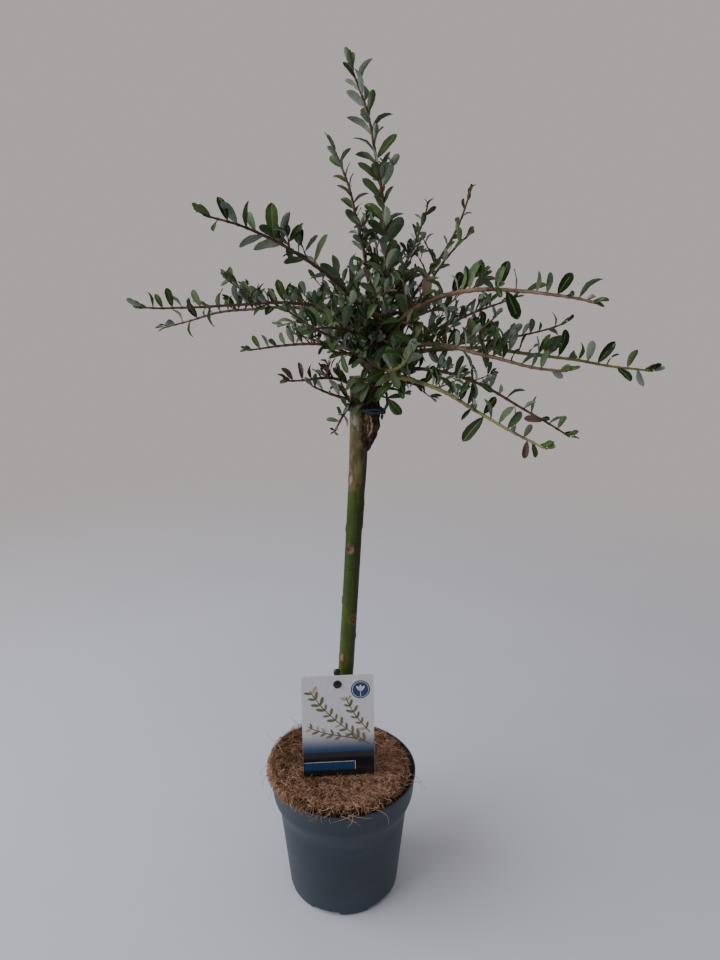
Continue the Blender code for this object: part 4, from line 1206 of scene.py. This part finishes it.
# %% Print the sprig
SPRIGS = (
    (((30, 33), (16, 46), (-10, 60), (-27, 92)), 11, 8.4),
    (((31, 46), (22, 58), (14, 66), (8, 84)), 6, 7.4),
    (((22, 38), (4, 44), (-14, 44), (-29, 54)), 7, 7.0),
)
sprig_rng = random.Random(8)
for corners, pairs, leaf_size in SPRIGS:
    line = bezier([Vector((x, z, 0)) for x, z in corners], 18)
    for first, second in zip(line, line[1:]):
        step = second - first
        middle = (first + second) / 2
        turn = math.degrees(math.atan2(step.y, step.x))
        plate(print_bm, 4, spot(middle.x, middle.y, step.length + 0.5, 0.85, turn), material=4)
    for index in range(pairs):
        place, heading = along(line, (index + 0.7) / (pairs + 0.2))
        for side in (-1, 1):
            turn = math.degrees(math.atan2(heading.y, heading.x)) + side * sprig_rng.uniform(36, 60)
            away = Vector((math.cos(math.radians(turn)), math.sin(math.radians(turn)), 0))
            size = leaf_size * sprig_rng.uniform(0.75, 1.1)
            centre = place + away * (size / 2 + 0.6)
            plate(print_bm, 5 + (side > 0), spot(centre.x, centre.y, size, size * 0.36, turn),
                  "disc", material=sprig_rng.choice((5, 5, 6, 6, 7)))
bmesh.ops.transform(print_bm, matrix=tag_matrix(), verts=print_bm.verts)
add_piece("tag_print", print_bm, inks)

# %% [markdown]
# ## How the crown grows
# Each shoot is one arc from the head to its tip, with side twigs to left and right and
# leaves in a spiral. The same rule and the same table made the solids, so the shoots lie
# where the solids are. Here the rule is carried further: a little wander in each stem,
# short spurs between the side twigs, a bud under every leaf, and twice the leaves at
# their true size. Growing by rule keeps the plant full from every side, which tracing
# one photograph could not.

# %% The shoots
# Name, foot height, compass bearing, reach, tip height, slope at the foot and at the tip,
# bare share, leaf length and side twigs.
SHOOTS = (
    ("leader", 592.3, 172, 30, 786, 90, 66, 0.26, 17, 0),
    ("leader_left", 576, 152, 52, 735, 76, 60, 0.20, 13, 0),
    ("upper_left", 575, 210, 156, 670, 60, 12, 0.34, 18, 0),
    ("left_far", 563, 189, 202, 602, 78, 6, 0.30, 13, 1),
    ("left_long", 556, 166, 206, 579, 74, -18, 0.30, 14, 1),
    ("left_low", 548, 179, 114, 563, 60, -9, 0.26, 12, 1),
    ("left_twig_high", 560, 138, 130, 578, 68, -12, 0.0, 12, 2),
    ("left_twig_mid", 553, 218, 94, 601, 34, 34, 0.0, 12, 2),
    ("left_twig_low", 541, 158, 84, 577, 60, 22, 0.0, 11, 1),
    ("left_hook", 541, 243, 84, 572, 70, 16, 0.0, 14, 1),
    ("dead_twig", 533, 196, 62, 540, 40, 3, 0.0, 12, 1),
    ("up_right_1", 580, 62, 88, 688, 80, 63, 0.24, 13, 1),
    ("up_right_2", 570, 34, 95, 699, 60, 74, 0.24, 12, 1),
    ("up_right_3", 563, 12, 76, 659, 52, 36, 0.0, 13, 2),
    ("right_arch", 568, 318, 190, 609, 66, -12, 0.30, 17, 0),
    ("right_riser", 556, 30, 152, 606, 26, 14, 0.26, 13, 1),
    ("right_twig", 547, 12, 176, 585, 32, 22, 0.0, 13, 1),
    ("right_long", 556, 348, 226, 552, 20, -4, 0.28, 18, 0),
    ("right_mid", 549, 328, 166, 557, 58, 2, 0.24, 15, 1),
    ("right_low", 540, 340, 168, 499, 32, -30, 0.24, 14, 0),
    ("right_lowest", 537, 307, 190, 513, 20, -8, 0.22, 14, 0),
    ("front_shoot", 546, 284, 94, 575, 12, 46, 0.0, 19, 1),
    ("low_left_high", 521, 205, 44, 536, 10, 30, 0.0, 13, 0),
    ("low_left_low", 519, 236, 36, 498, -10, -40, 0.0, 9, 0),
    ("right_tuft", 529, 4, 26, 525, 20, -50, 0.0, 13, 0),
    ("back_high", 584, 100, 64, 676, 80, 50, 0.0, 14, 2),
    ("back_arch", 572, 84, 148, 640, 70, 4, 0.26, 15, 2),
    ("back_long", 563, 112, 184, 596, 60, -12, 0.26, 14, 2),
    ("back_right", 560, 58, 176, 584, 46, -12, 0.24, 15, 2),
    ("back_low", 545, 90, 142, 552, 34, -20, 0.0, 14, 2),
    ("back_twig", 548, 120, 96, 590, 50, 10, 0.0, 12, 2),
    ("front_high", 570, 262, 92, 624, 62, 14, 0.0, 14, 2),
    ("front_left", 558, 236, 104, 588, 50, -4, 0.0, 14, 2),
)
TAN_SHOOTS = ("right_arch", "right_mid")
PALE_SHOOTS = ("right_lowest", "right_long", "front_shoot")
SEED = 7
UP = Vector((0, 0, 1))
noise.seed_set(SEED)


def station_at(stations, height):
    for low, high in zip(stations, stations[1:]):
        if height <= high[0]:
            share = (height - low[0]) / (high[0] - low[0])
            return (Vector((low[1] + share * (high[1] - low[1]), 0, height)) * MM,
                    (low[2] + share * (high[2] - low[2])) * MM)
    z, x, radius = stations[-1]
    return Vector((x, 0, z)) * MM, radius * MM


def shoot_path(row):
    """A cubic arc in its own upright plane, from the head to the tip."""
    foot_z, compass, reach, tip_z, rise, tip_rise = row[1:7]
    heading = Vector((math.cos(math.radians(compass)), math.sin(math.radians(compass)), 0))
    from_stub = foot_z < TRUNK_STATIONS[-1][0] and heading.x < -0.3
    axis, radius = station_at(TRUNK_STATIONS if from_stub else SCION_STATIONS, foot_z)
    start = axis + heading * (radius - 1 * MM)
    if foot_z > SCION_STATIONS[-1][0]:
        start = Vector((axis.x, 0, axis.z - 3 * MM))
    end = Vector((axis.x, 0, tip_z * MM)) + heading * reach * MM
    pull = (end - start).length / 3
    slope, tip_slope = math.radians(rise), math.radians(tip_rise)
    first = start + (heading * math.cos(slope) + UP * math.sin(slope)) * pull
    second = end - (heading * math.cos(tip_slope) + UP * math.sin(tip_slope)) * pull
    return bezier([start, first, second, end], 24)


def wander(points, amount, seed):
    """Give a stem a slight natural waver that fades out towards its foot."""
    drifted = []
    for index, point in enumerate(points):
        grow = min(index / 6, 1.0) * amount
        spot_in_noise = point * 28 + Vector((seed * 3.1, 0, 0))
        drifted.append(point + noise.noise_vector(spot_in_noise) * grow)
    return drifted


paths = {row[0]: wander(evenly(shoot_path(row), 6 * MM), 1.3 * MM, number)
         for number, row in enumerate(SHOOTS)}
print("shoots:", len(paths), "total length",
      round(sum(path_length(path) for path in paths.values()), 2), "m")


# %% Side twigs and spurs
def side_axes(direction):
    """Two unit vectors square to a direction, the first as level as it can be."""
    level = direction.cross(UP)
    if level.length < 0.1:
        level = direction.cross(Vector((0, 1, 0)))
    level.normalize()
    return level, level.cross(direction).normalized()


def twig_points(place, heading, upper, reach, steps, lift=0.12):
    """A short twig that bends upwards."""
    points = [place]
    for step in range(1, steps + 1):
        share = step / steps
        points.append(place + heading * (reach * share) + upper * (lift * share**2 * reach))
    return points


INNER_TWIGS = 2
runs = []
for number, row in enumerate(SHOOTS):
    name, bare, leaf_length, twigs = row[0], row[7], row[8] * MM, row[9]
    path = paths[name]
    length = path_length(path)
    runs.append((name, path, "stem", bare, leaf_length))
    stem = [along(path, bare + (1 - bare) * index / 12)[0] for index in range(13)]
    stem_length = path_length(stem)
    rng = random.Random(SEED + number)
    for index in range(twigs):
        share = 0.12 + 0.62 * (index + rng.random() * 0.6) / twigs
        place, direction = along(stem, share)
        level, upper = side_axes(direction)
        side = 1 if (index + number) % 2 else -1
        heading = (direction * 0.75 + level * side * 0.7
                   + upper * rng.uniform(0.1, 0.9)).normalized()
        reach = min(0.34 * stem_length * (1.15 - share), 55 * MM)
        points = wander(twig_points(place, heading, upper, reach, 8), 0.8 * MM, number + index)
        runs.append((name, points, "twig", 0.06, leaf_length * 0.85))
    rng = random.Random(500 + number)
    for index in range(int(stem_length / (34 * MM))):
        share = rng.uniform(0.0, 0.5)
        place, direction = along(stem, share)
        level, upper = side_axes(direction)
        turn = rng.uniform(0, 2 * math.pi)
        outward = level * math.cos(turn) + upper * abs(math.sin(turn))
        heading = (direction * 0.8 + outward * 0.8).normalized()
        reach = rng.uniform(9, 22) * MM * (1.2 - share)
        runs.append((name, twig_points(place, heading, upper, reach, 5), "spur", 0.1,
                     leaf_length * 0.8))
    for index in range(INNER_TWIGS if bare else 0):
        place, direction = along(path, bare * rng.uniform(0.35, 1.0))
        level, upper = side_axes(direction)
        turn = rng.uniform(0, 2 * math.pi)
        outward = level * math.cos(turn) + upper * math.sin(turn)
        heading = (direction * 0.6 + outward * 0.9).normalized()
        reach = rng.uniform(18, 42) * MM
        points = wander(twig_points(place, heading, upper, reach, 6), 0.8 * MM, number + index)
        runs.append((name, points, "twig", 0.0, min(leaf_length, 15 * MM)))
print("runs of leaves:", len(runs))

# %% Short twigs at the graft
GRAFT_TWIGS = (
    ((31, -4.5, 530), (28, -9.0, 535), (25, -10.5, 538)),
    ((34, -3.5, 525), (39, -8.0, 524), (42.5, -10.0, 523)),
    ((35, -4.0, 531), (43, -8.5, 536), (51, -11.0, 539)),
    ((24, -5.0, 516), (21.5, -9.5, 518), (19.5, -11.0, 519)),
)
# Foot and tip of each leaf there, its roll about itself, its tone and its shape.
GRAFT_LEAVES = (
    ((30, -8, 533), (45, -14, 546), 0, "grey", 0),
    ((27, -9.4, 537), (15, -14, 542), 10, "mid", 1),
    ((26, -10, 537), (9, -15, 531), 0, "grey", 2),
    ((26, -10, 537), (17, -16, 522), 15, "grey", 0),
    ((47, -9.8, 537.5), (28, -15, 524), -10, "mid", 1),
    ((21, -9.8, 518), (9, -13, 524), 5, "dark", 3),
    ((20, -10.6, 518.6), (8, -14, 509.5), 0, "grey", 1),
    ((22, -9.0, 517.6), (31, -13, 526), 20, "dark", 1),
    ((41, -9.2, 523.4), (54, -12, 527), 0, "mid", 1),
    ((42.5, -10, 523), (54, -14, 510), 0, "mid", 0),
    ((42, -10, 523), (50, -13, 508), 12, "grey", 1),
    ((51, -11, 539), (55, -13, 523), 30, "mid", 4),
    ((46, -9.6, 537.2), (57, -12, 541), 0, "dark", 5),
)
# A shoot, the share along it, the way the leaf points from there, and its tone.
HUNG_LEAVES = (
    ("right_lowest", 0.10, (24, 2, -5), "dead"), ("front_shoot", 0.16, (-17, -3, 5), "dead"),
    ("front_shoot", 0.55, (-8, -6, 17), "grey"), ("front_shoot", 0.70, (9, -5, 19), "grey"),
    ("right_lowest", 0.68, (-17, -5, -17), "dark"), ("right_lowest", 0.91, (-2, -3, -13), "dead"),
    ("right_low", 0.86, (-17, -3, 3), "dead"), ("left_low", 0.05, (-6, -9, -12), "mid"),
    ("left_low", 0.11, (-10, -9, -7), "grey"), ("front_left", 0.05, (-6, -7, -14), "mid"),
    ("front_left", 0.12, (4, -8, -13), "dark"), ("front_left", 0.20, (-11, -6, -8), "mid"),
)
for row in GRAFT_TWIGS:
    line = evenly(bezier([Vector(row[0]) * MM, Vector(row[1]) * MM, Vector(row[1]) * MM,
                          Vector(row[2]) * MM], 8), 1.4 * MM)
    runs.append(("graft", line, "bare", 0.0, 15 * MM))

# %% [markdown]
# ## Bark of the shoots
# Young willow shoots are thin, red-brown and glossy, and a few of the strong ones on the
# right are still yellow-green. Each is a slender tube that thickens a little at every
# leaf, where the stem is jointed.

# %% Grow the twigs
STEM_RADII = {"stem": (1.55, 0.70), "twig": (0.75, 0.42), "spur": (0.55, 0.32),
              "bare": (0.95, 0.50)}
STEM_SIDES = {"stem": 9, "twig": 7, "spur": 6, "bare": 7}
STEM_RINGS = {"stem": 1.6 * MM, "twig": 2.0 * MM, "spur": 2.4 * MM, "bare": 1.4 * MM}
STEM_GROWTH = {"brown": 1.0, "tan": 1.30, "pale": 1.12}
BOUGH_FOOT = 2.3 * MM
STEM_STEP = {"top": 7.2 * MM, "left": 7.8 * MM, "right": 8.2 * MM, "back": 8.5 * MM,
             "leader": 4.4 * MM}
TWIG_STEP_SHARE = 0.85
LEAF_GROWTH = {"top": 1.15, "left": 1.34, "right": 1.20, "back": 1.28, "leader": 1.28}
BARE_OF_LEAVES = 0.35


def spray_of(name):
    """The side of the crown that a shoot belongs to."""
    for side in ("back", "right", "left"):
        if side in name and name != "leader_left":
            return side if not name.startswith("up_") else "top"
    return "top" if name.startswith(("leader", "front")) else "left"


def habit_of(name):
    """Whose spacing and size of leaves a shoot has: its spray's, or the leader's own."""
    return "leader" if name.startswith("leader") else spray_of(name)


def leaf_shares(name, points, kind, bare, leaf_length):
    """Where along a run its leaves stand; the first third of a bare bough has none."""
    bare *= BARE_OF_LEAVES
    free = path_length(points) * (1 - bare)
    step = STEM_STEP[habit_of(name)] if kind == "stem" else leaf_length * TWIG_STEP_SHARE
    count = max(3, round(free / step))
    return [bare + (1 - bare) * (index + 0.5) / count for index in range(count)]


def stem_relief_for(shares, span, amount):
    """Swell a stem at its joints, and roughen it a little."""
    def relief(place, outward, share, around):
        nearest = min((abs(share - joint) for joint in shares), default=1.0)
        swell = math.exp(-(nearest / span) ** 2)
        return (swell * amount + 0.10 * noise.noise(place * 700)) * MM, ()
    return relief


bark_bms = {"brown": bmesh.new(), "tan": bmesh.new(), "pale": bmesh.new()}
for name, points, kind, bare, leaf_length in runs:
    tone = "pale" if name in PALE_SHOOTS else "tan" if name in TAN_SHOOTS else "brown"
    line = evenly(points, STEM_RINGS[kind])
    first, last = (radius * STEM_GROWTH[tone] for radius in STEM_RADII[kind])
    radii = []
    for index in range(len(line)):
        share = index / (len(line) - 1)
        grown = max(share - bare, 0) / (1 - bare)
        radius = (first + (last - first) * grown) * MM
        if kind == "stem" and bare and share < bare:
            radius = BOUGH_FOOT + (first * MM - BOUGH_FOOT) * share / bare
        radii.append(radius)
    shares = leaf_shares(name, points, kind, bare, leaf_length)
    relief = stem_relief_for(shares, 1.3 * MM / path_length(points), 0.32)
    pour(bark_bms[tone], as_mesh(limb(line, radii, STEM_SIDES[kind], relief)))

brown_mat, _ = two_tone("twig_brown", (0.026, 0.011, 0.007), (0.110, 0.044, 0.026), 90.0,
                        (0.35, 0.5), 0.00015, grain=8.0)
tan_mat, _ = two_tone("twig_tan", (0.090, 0.046, 0.024), (0.190, 0.118, 0.066), 60.0,
                      (0.4, 0.55), 0.00015, grain=8.0)
pale_mat, pale_colour = two_tone("twig_pale", (0.100, 0.115, 0.026), (0.185, 0.190, 0.055), 70.0,
                                 (0.4, 0.55), 0.00015, grain=8.0)
blush = use_group(pale_mat.node_tree, mottle, Scale=34.0, Low=0.52, High=0.66)
layer_over(pale_mat, pale_colour, blush["Mask"], (0.120, 0.066, 0.028))
bough_nodes = [name for name in node_names if name.startswith("bough_")]
mass_nodes = [name for name in node_names if name.startswith("mass_")]
tan_nodes = [name for name in bough_nodes if name[6:] in TAN_SHOOTS]
pale_nodes = [name for name in bough_nodes if name[6:] in PALE_SHOOTS]
brown_nodes = [name for name in bough_nodes if name not in tan_nodes + pale_nodes]
add_piece("shoots_brown", bark_bms["brown"], [brown_mat], brown_nodes)
add_piece("shoots_tan", bark_bms["tan"], [tan_mat], tan_nodes)
add_piece("shoots_pale", bark_bms["pale"], [pale_mat], pale_nodes)

# %% [markdown]
# ## The leaves
# A creeping willow has small oval leaves on short stalks: dark and slightly glossy
# above, silver with fine hairs below, with a sunken pale midrib. Most fold up along the
# midrib and curl back at the tip. A card with a picture would be cheap, but it shows its
# square edge from the side, so each leaf is a small closed blade of seventy faces shaped
# from a grid: its rows are narrowed to the outline, its middle column is the midrib, and
# a second sheet just below gives the silver underside. A few blades, in a few tones, are
# then copied along every stem.

# %% Leaf blades
BLADE_ROWS = (0.0, 0.09, 0.20, 0.38, 0.60, 0.82, 0.94, 1.0)
BLADE_WIDTHS = (0.022, 0.032, 0.098, 0.152, 0.180, 0.166, 0.100, 0.014)
BLADE_COLUMNS = (-1.0, -0.55, -0.09, 0.09, 0.55, 1.0)
BLADE_DEPTH = 0.008
TONES = ("dark", "mid", "grey", "young", "dead")
RIB, UNDER, UNDER_YOUNG, UNDER_DARK = 5, 6, 7, 8
# Width, fold, curl, tip hook and twist in degrees of each shape of leaf.
SHAPES = (
    (1.04, 0.16, 0.10, 0.10, 0), (0.96, 0.34, 0.18, 0.26, 10), (1.14, 0.12, 0.08, 0.12, -8),
    (0.88, 0.50, 0.28, 0.34, 14), (1.00, 0.28, -0.06, 0.30, -16), (0.78, 0.80, 0.16, 0.40, 20),
    (1.06, 0.22, 0.18, 0.46, -6),
)


def blade(width, fold, curl, hook, twist, tone):
    """A closed leaf one unit long: Z runs along it and Y is its upper face."""
    bm = bmesh.new()
    bmesh.ops.create_grid(bm, x_segments=5, y_segments=7, size=0.5)
    for vert in bm.verts:
        column = BLADE_COLUMNS[round((vert.co.x + 0.5) * 5)]
        row = round((vert.co.y + 0.5) * 7)
        z = BLADE_ROWS[row]
        x = column * BLADE_WIDTHS[row] * width
        y = abs(x) * fold - curl * z**2 - hook * max(z - 0.7, 0) * 1.6
        if abs(column) < 0.1:
            y -= 0.006
        y += 0.012 * math.sin(z * 15) * abs(column)
        turn = math.radians(twist) * z
        vert.co = Vector((x * math.cos(turn) - y * math.sin(turn),
                          x * math.sin(turn) + y * math.cos(turn), z))
    for face in bm.faces:
        middle = abs(face.calc_center_median().x) < 0.012 and fold < 2
        face.material_index = TONES.index(tone)
        if middle and tone != "dead":
            face.material_index = RIB
    made = bmesh.ops.duplicate(bm, geom=bm.verts[:] + bm.edges[:] + bm.faces[:])["geom"]
    under = [item for item in made if isinstance(item, bmesh.types.BMFace)]
    for face in under:
        if tone != "dead":
            face.material_index = {"young": UNDER_YOUNG, "dark": UNDER_DARK}.get(tone, UNDER)
    for vert in {v for face in under for v in face.verts}:
        if not vert.is_boundary:
            vert.co.y -= BLADE_DEPTH
    bmesh.ops.remove_doubles(bm, verts=bm.verts, dist=1e-5)
    bmesh.ops.recalc_face_normals(bm, faces=bm.faces)
    return as_mesh(bm)


blades = {(shape, tone): blade(*SHAPES[shape], tone)
          for shape in range(len(SHAPES)) for tone in TONES}
print("blades:", len(blades), "of", len(blades[0, "mid"].polygons), "faces")

# %% Leaf finishes
LEAF_TONES = {
    "leaf_dark": ((0.007, 0.021, 0.003), (0.016, 0.039, 0.007), 0.38),
    "leaf_mid": ((0.027, 0.064, 0.013), (0.054, 0.108, 0.027), 0.42),
    "leaf_grey": ((0.062, 0.108, 0.044), (0.124, 0.184, 0.092), 0.55),
    "leaf_young": ((0.042, 0.082, 0.016), (0.080, 0.128, 0.030), 0.48),
    "leaf_dead": ((0.050, 0.034, 0.025), (0.150, 0.108, 0.084), 0.75),
    "leaf_rib": ((0.090, 0.142, 0.050), (0.150, 0.200, 0.084), 0.5),
    "leaf_under": ((0.140, 0.196, 0.140), (0.250, 0.312, 0.240), 0.7),
    "leaf_under_young": ((0.096, 0.148, 0.060), (0.150, 0.204, 0.092), 0.65),
    "leaf_under_dark": ((0.050, 0.084, 0.040), (0.100, 0.146, 0.082), 0.65),
}
leaf_mats = []
for name, (dark, light, rough) in LEAF_TONES.items():
    mat, colour = two_tone(name, dark, light, 60.0, (rough, rough + 0.12), 0.00010, grain=12.0,
                           specular=0.18)
    if name in ("leaf_dark", "leaf_mid", "leaf_grey"):
        blight = use_group(mat.node_tree, mottle, Scale=46.0, Low=0.69, High=0.73)
        layer_over(mat, colour, blight["Mask"], (0.115, 0.074, 0.050))
    leaf_mats.append(mat)
print("leaf finishes:", len(leaf_mats))

# %% [markdown]
# ## Dealing out the leaves
# Leaves stand in a spiral of 137.5 degrees, lean out about half way, and turn up to the
# light, so that on a level shoot nearly all stand above it. Each spray has its own mix
# of tones: greyer on the left where the silver sides show, darker and larger on the
# right, and young green at every tip. The mix is drawn leaf by leaf with a fixed seed.

# %% Leaf frames
SPIRAL = math.radians(137.5)
LIFT = 0.32
TURN_UP = 0.68
SQUEEZE = 0.5
TONE_MIX = {"left": (0.32, 0.36, 0.29, 0.03), "right": (0.52, 0.34, 0.12, 0.02),
            "back": (0.36, 0.40, 0.20, 0.04), "top": (0.22, 0.44, 0.31, 0.03)}


def leaf_matrix(place, direction, turn, spread, size, rng):
    """Where a blade goes: Z out along the leaf, Y up to the light."""
    level, upper = side_axes(direction)
    flat = abs(direction.z) < 0.75
    outward = level * math.cos(turn) * (SQUEEZE if flat else 1) + upper * math.sin(turn)
    outward.normalize()
    if outward.z < 0 and flat and rng.random() < TURN_UP:
        outward.z = -outward.z
    out = direction * math.cos(spread) + outward * math.sin(spread)
    out = (out + UP * LIFT).normalized()
    sideways = out.cross(UP)
    sideways = level if sideways.length < 0.2 else sideways.normalized()
    face = direction * 0.3 + UP * 0.6 + sideways * rng.choice((-1, 1)) * rng.uniform(0.3, 1.2)
    face = face - out * face.dot(out)
    if face.length < 0.15:
        face = out.orthogonal()
    face.normalize()
    across = face.cross(out).normalized()
    matrix = Matrix((across * size, face * size, out * size)).transposed().to_4x4()
    matrix.translation = place
    return matrix


def pick_tone(rng, mix, share, kind, name):
    if name == "dead_twig":
        return "dead" if rng.random() < 0.8 else "mid"
    if rng.random() < 0.012:
        return "dead"
    if share > 0.9 and rng.random() < 0.26:
        return "young"
    return rng.choices(TONES[:4], mix)[0]


# %% Stand the leaves on their stems
bud_bm = bmesh.new()
bmesh.ops.create_icosphere(bud_bm, subdivisions=1, radius=1.0)
bmesh.ops.scale(bud_bm, vec=(0.62, 0.62, 1.25), verts=bud_bm.verts)
bud = as_mesh(bud_bm, "bud")

foliage = {side: bmesh.new() for side in TONE_MIX}
buds = bmesh.new()
counts = dict.fromkeys(TONE_MIX, 0)
for number, (name, points, kind, bare, leaf_length) in enumerate(runs):
    if kind == "bare":
        continue
    rng = random.Random(9000 + number)
    side = spray_of(name)
    shares = leaf_shares(name, points, kind, bare, leaf_length)
    if kind == "spur":
        shares = shares[-3:]
    turn = rng.uniform(0, 2 * math.pi)
    for share in shares + [0.965, 0.985, 1.0]:
        tip = share > 0.96
        place, direction = along(points, min(share, 1.0))
        turn += SPIRAL
        size = leaf_length * LEAF_GROWTH[habit_of(name)] * rng.uniform(0.78, 1.2)
        size *= 1 - 0.25 * share**4
        flat = 1 - abs(direction.normalized().z)
        spread = math.radians(50 + 28 * flat + rng.uniform(-15, 16) - 18 * share**4)
        if tip:
            size *= rng.uniform(0.55, 0.8)
            spread = math.radians(rng.uniform(8, 34))
        matrix = leaf_matrix(place, direction, turn, spread, size, rng)
        tone = pick_tone(rng, TONE_MIX[side], share, kind, name)
        pour(foliage[side], blades[rng.randrange(len(SHAPES)), tone], matrix)
        counts[side] += 1
        if not tip and kind != "spur":
            swelling = matrix.to_3x3().col[2].normalized()
            seat = place + swelling * (1.0 * MM if kind == "stem" else 0.6 * MM)
            small = Matrix.Translation(seat) @ matrix.to_3x3().normalized().to_4x4()
            pour(buds, bud, small @ Matrix.Scale(0.75 * MM, 4))
print("leaves:", counts, "total", sum(counts.values()))


# %% Leaves at the graft
def leaf_between(foot, tip, roll):
    """Where a blade goes from its foot to its tip, its upper face to the light and the front."""
    out = (tip - foot).normalized()
    face = Vector((-0.25, -0.75, 0.65))
    face = (face - out * face.dot(out)).normalized()
    face = Quaternion(out, math.radians(roll)) @ face
    across = face.cross(out).normalized()
    size = (tip - foot).length
    matrix = Matrix((across * size, face * size, out * size)).transposed().to_4x4()
    matrix.translation = foot
    return matrix


for foot, tip, roll, tone, shape in GRAFT_LEAVES:
    place = leaf_between(Vector(foot) * MM, Vector(tip) * MM, roll)
    pour(foliage["top"], blades[shape, tone], place)
for name, share, way, tone in HUNG_LEAVES:
    foot = along(paths[name], share)[0]
    pour(foliage["top"], blades[4 if tone == "dead" else 0, tone],
         leaf_between(foot, foot + Vector(way) * MM, 0))
print("leaves at the graft:", len(GRAFT_LEAVES) + len(HUNG_LEAVES))

# %% Finish the foliage
for side, bm in foliage.items():
    own = [name for name in mass_nodes if spray_of(name[5:]) == side]
    add_piece("leaves_" + side, bm, leaf_mats, own, sharp=math.radians(60))
bud_mat, _ = two_tone("bud_red", (0.110, 0.028, 0.015), (0.25, 0.080, 0.040), 220.0,
                      (0.4, 0.55), 0.0001, grain=4.0)
add_piece("leaf_buds", buds, [bud_mat])

# %% [markdown]
# ## Measure and finish
# The dressed plant's box is measured against the CAD model's box, and how far it grows
# on each axis is printed beside a little room for soft fibre.

# %% Sizes
new_low, new_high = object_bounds()
for axis, low, high, cad_a, cad_b in zip("xyz", new_low, new_high, cad_low, cad_high):
    room = 0.03 * (cad_b - cad_a) + 0.010
    print(axis, "grows", round((cad_a - low) / MM, 1), "and", round((high - cad_b) / MM, 1),
          "mm, room", round(room / MM, 1))
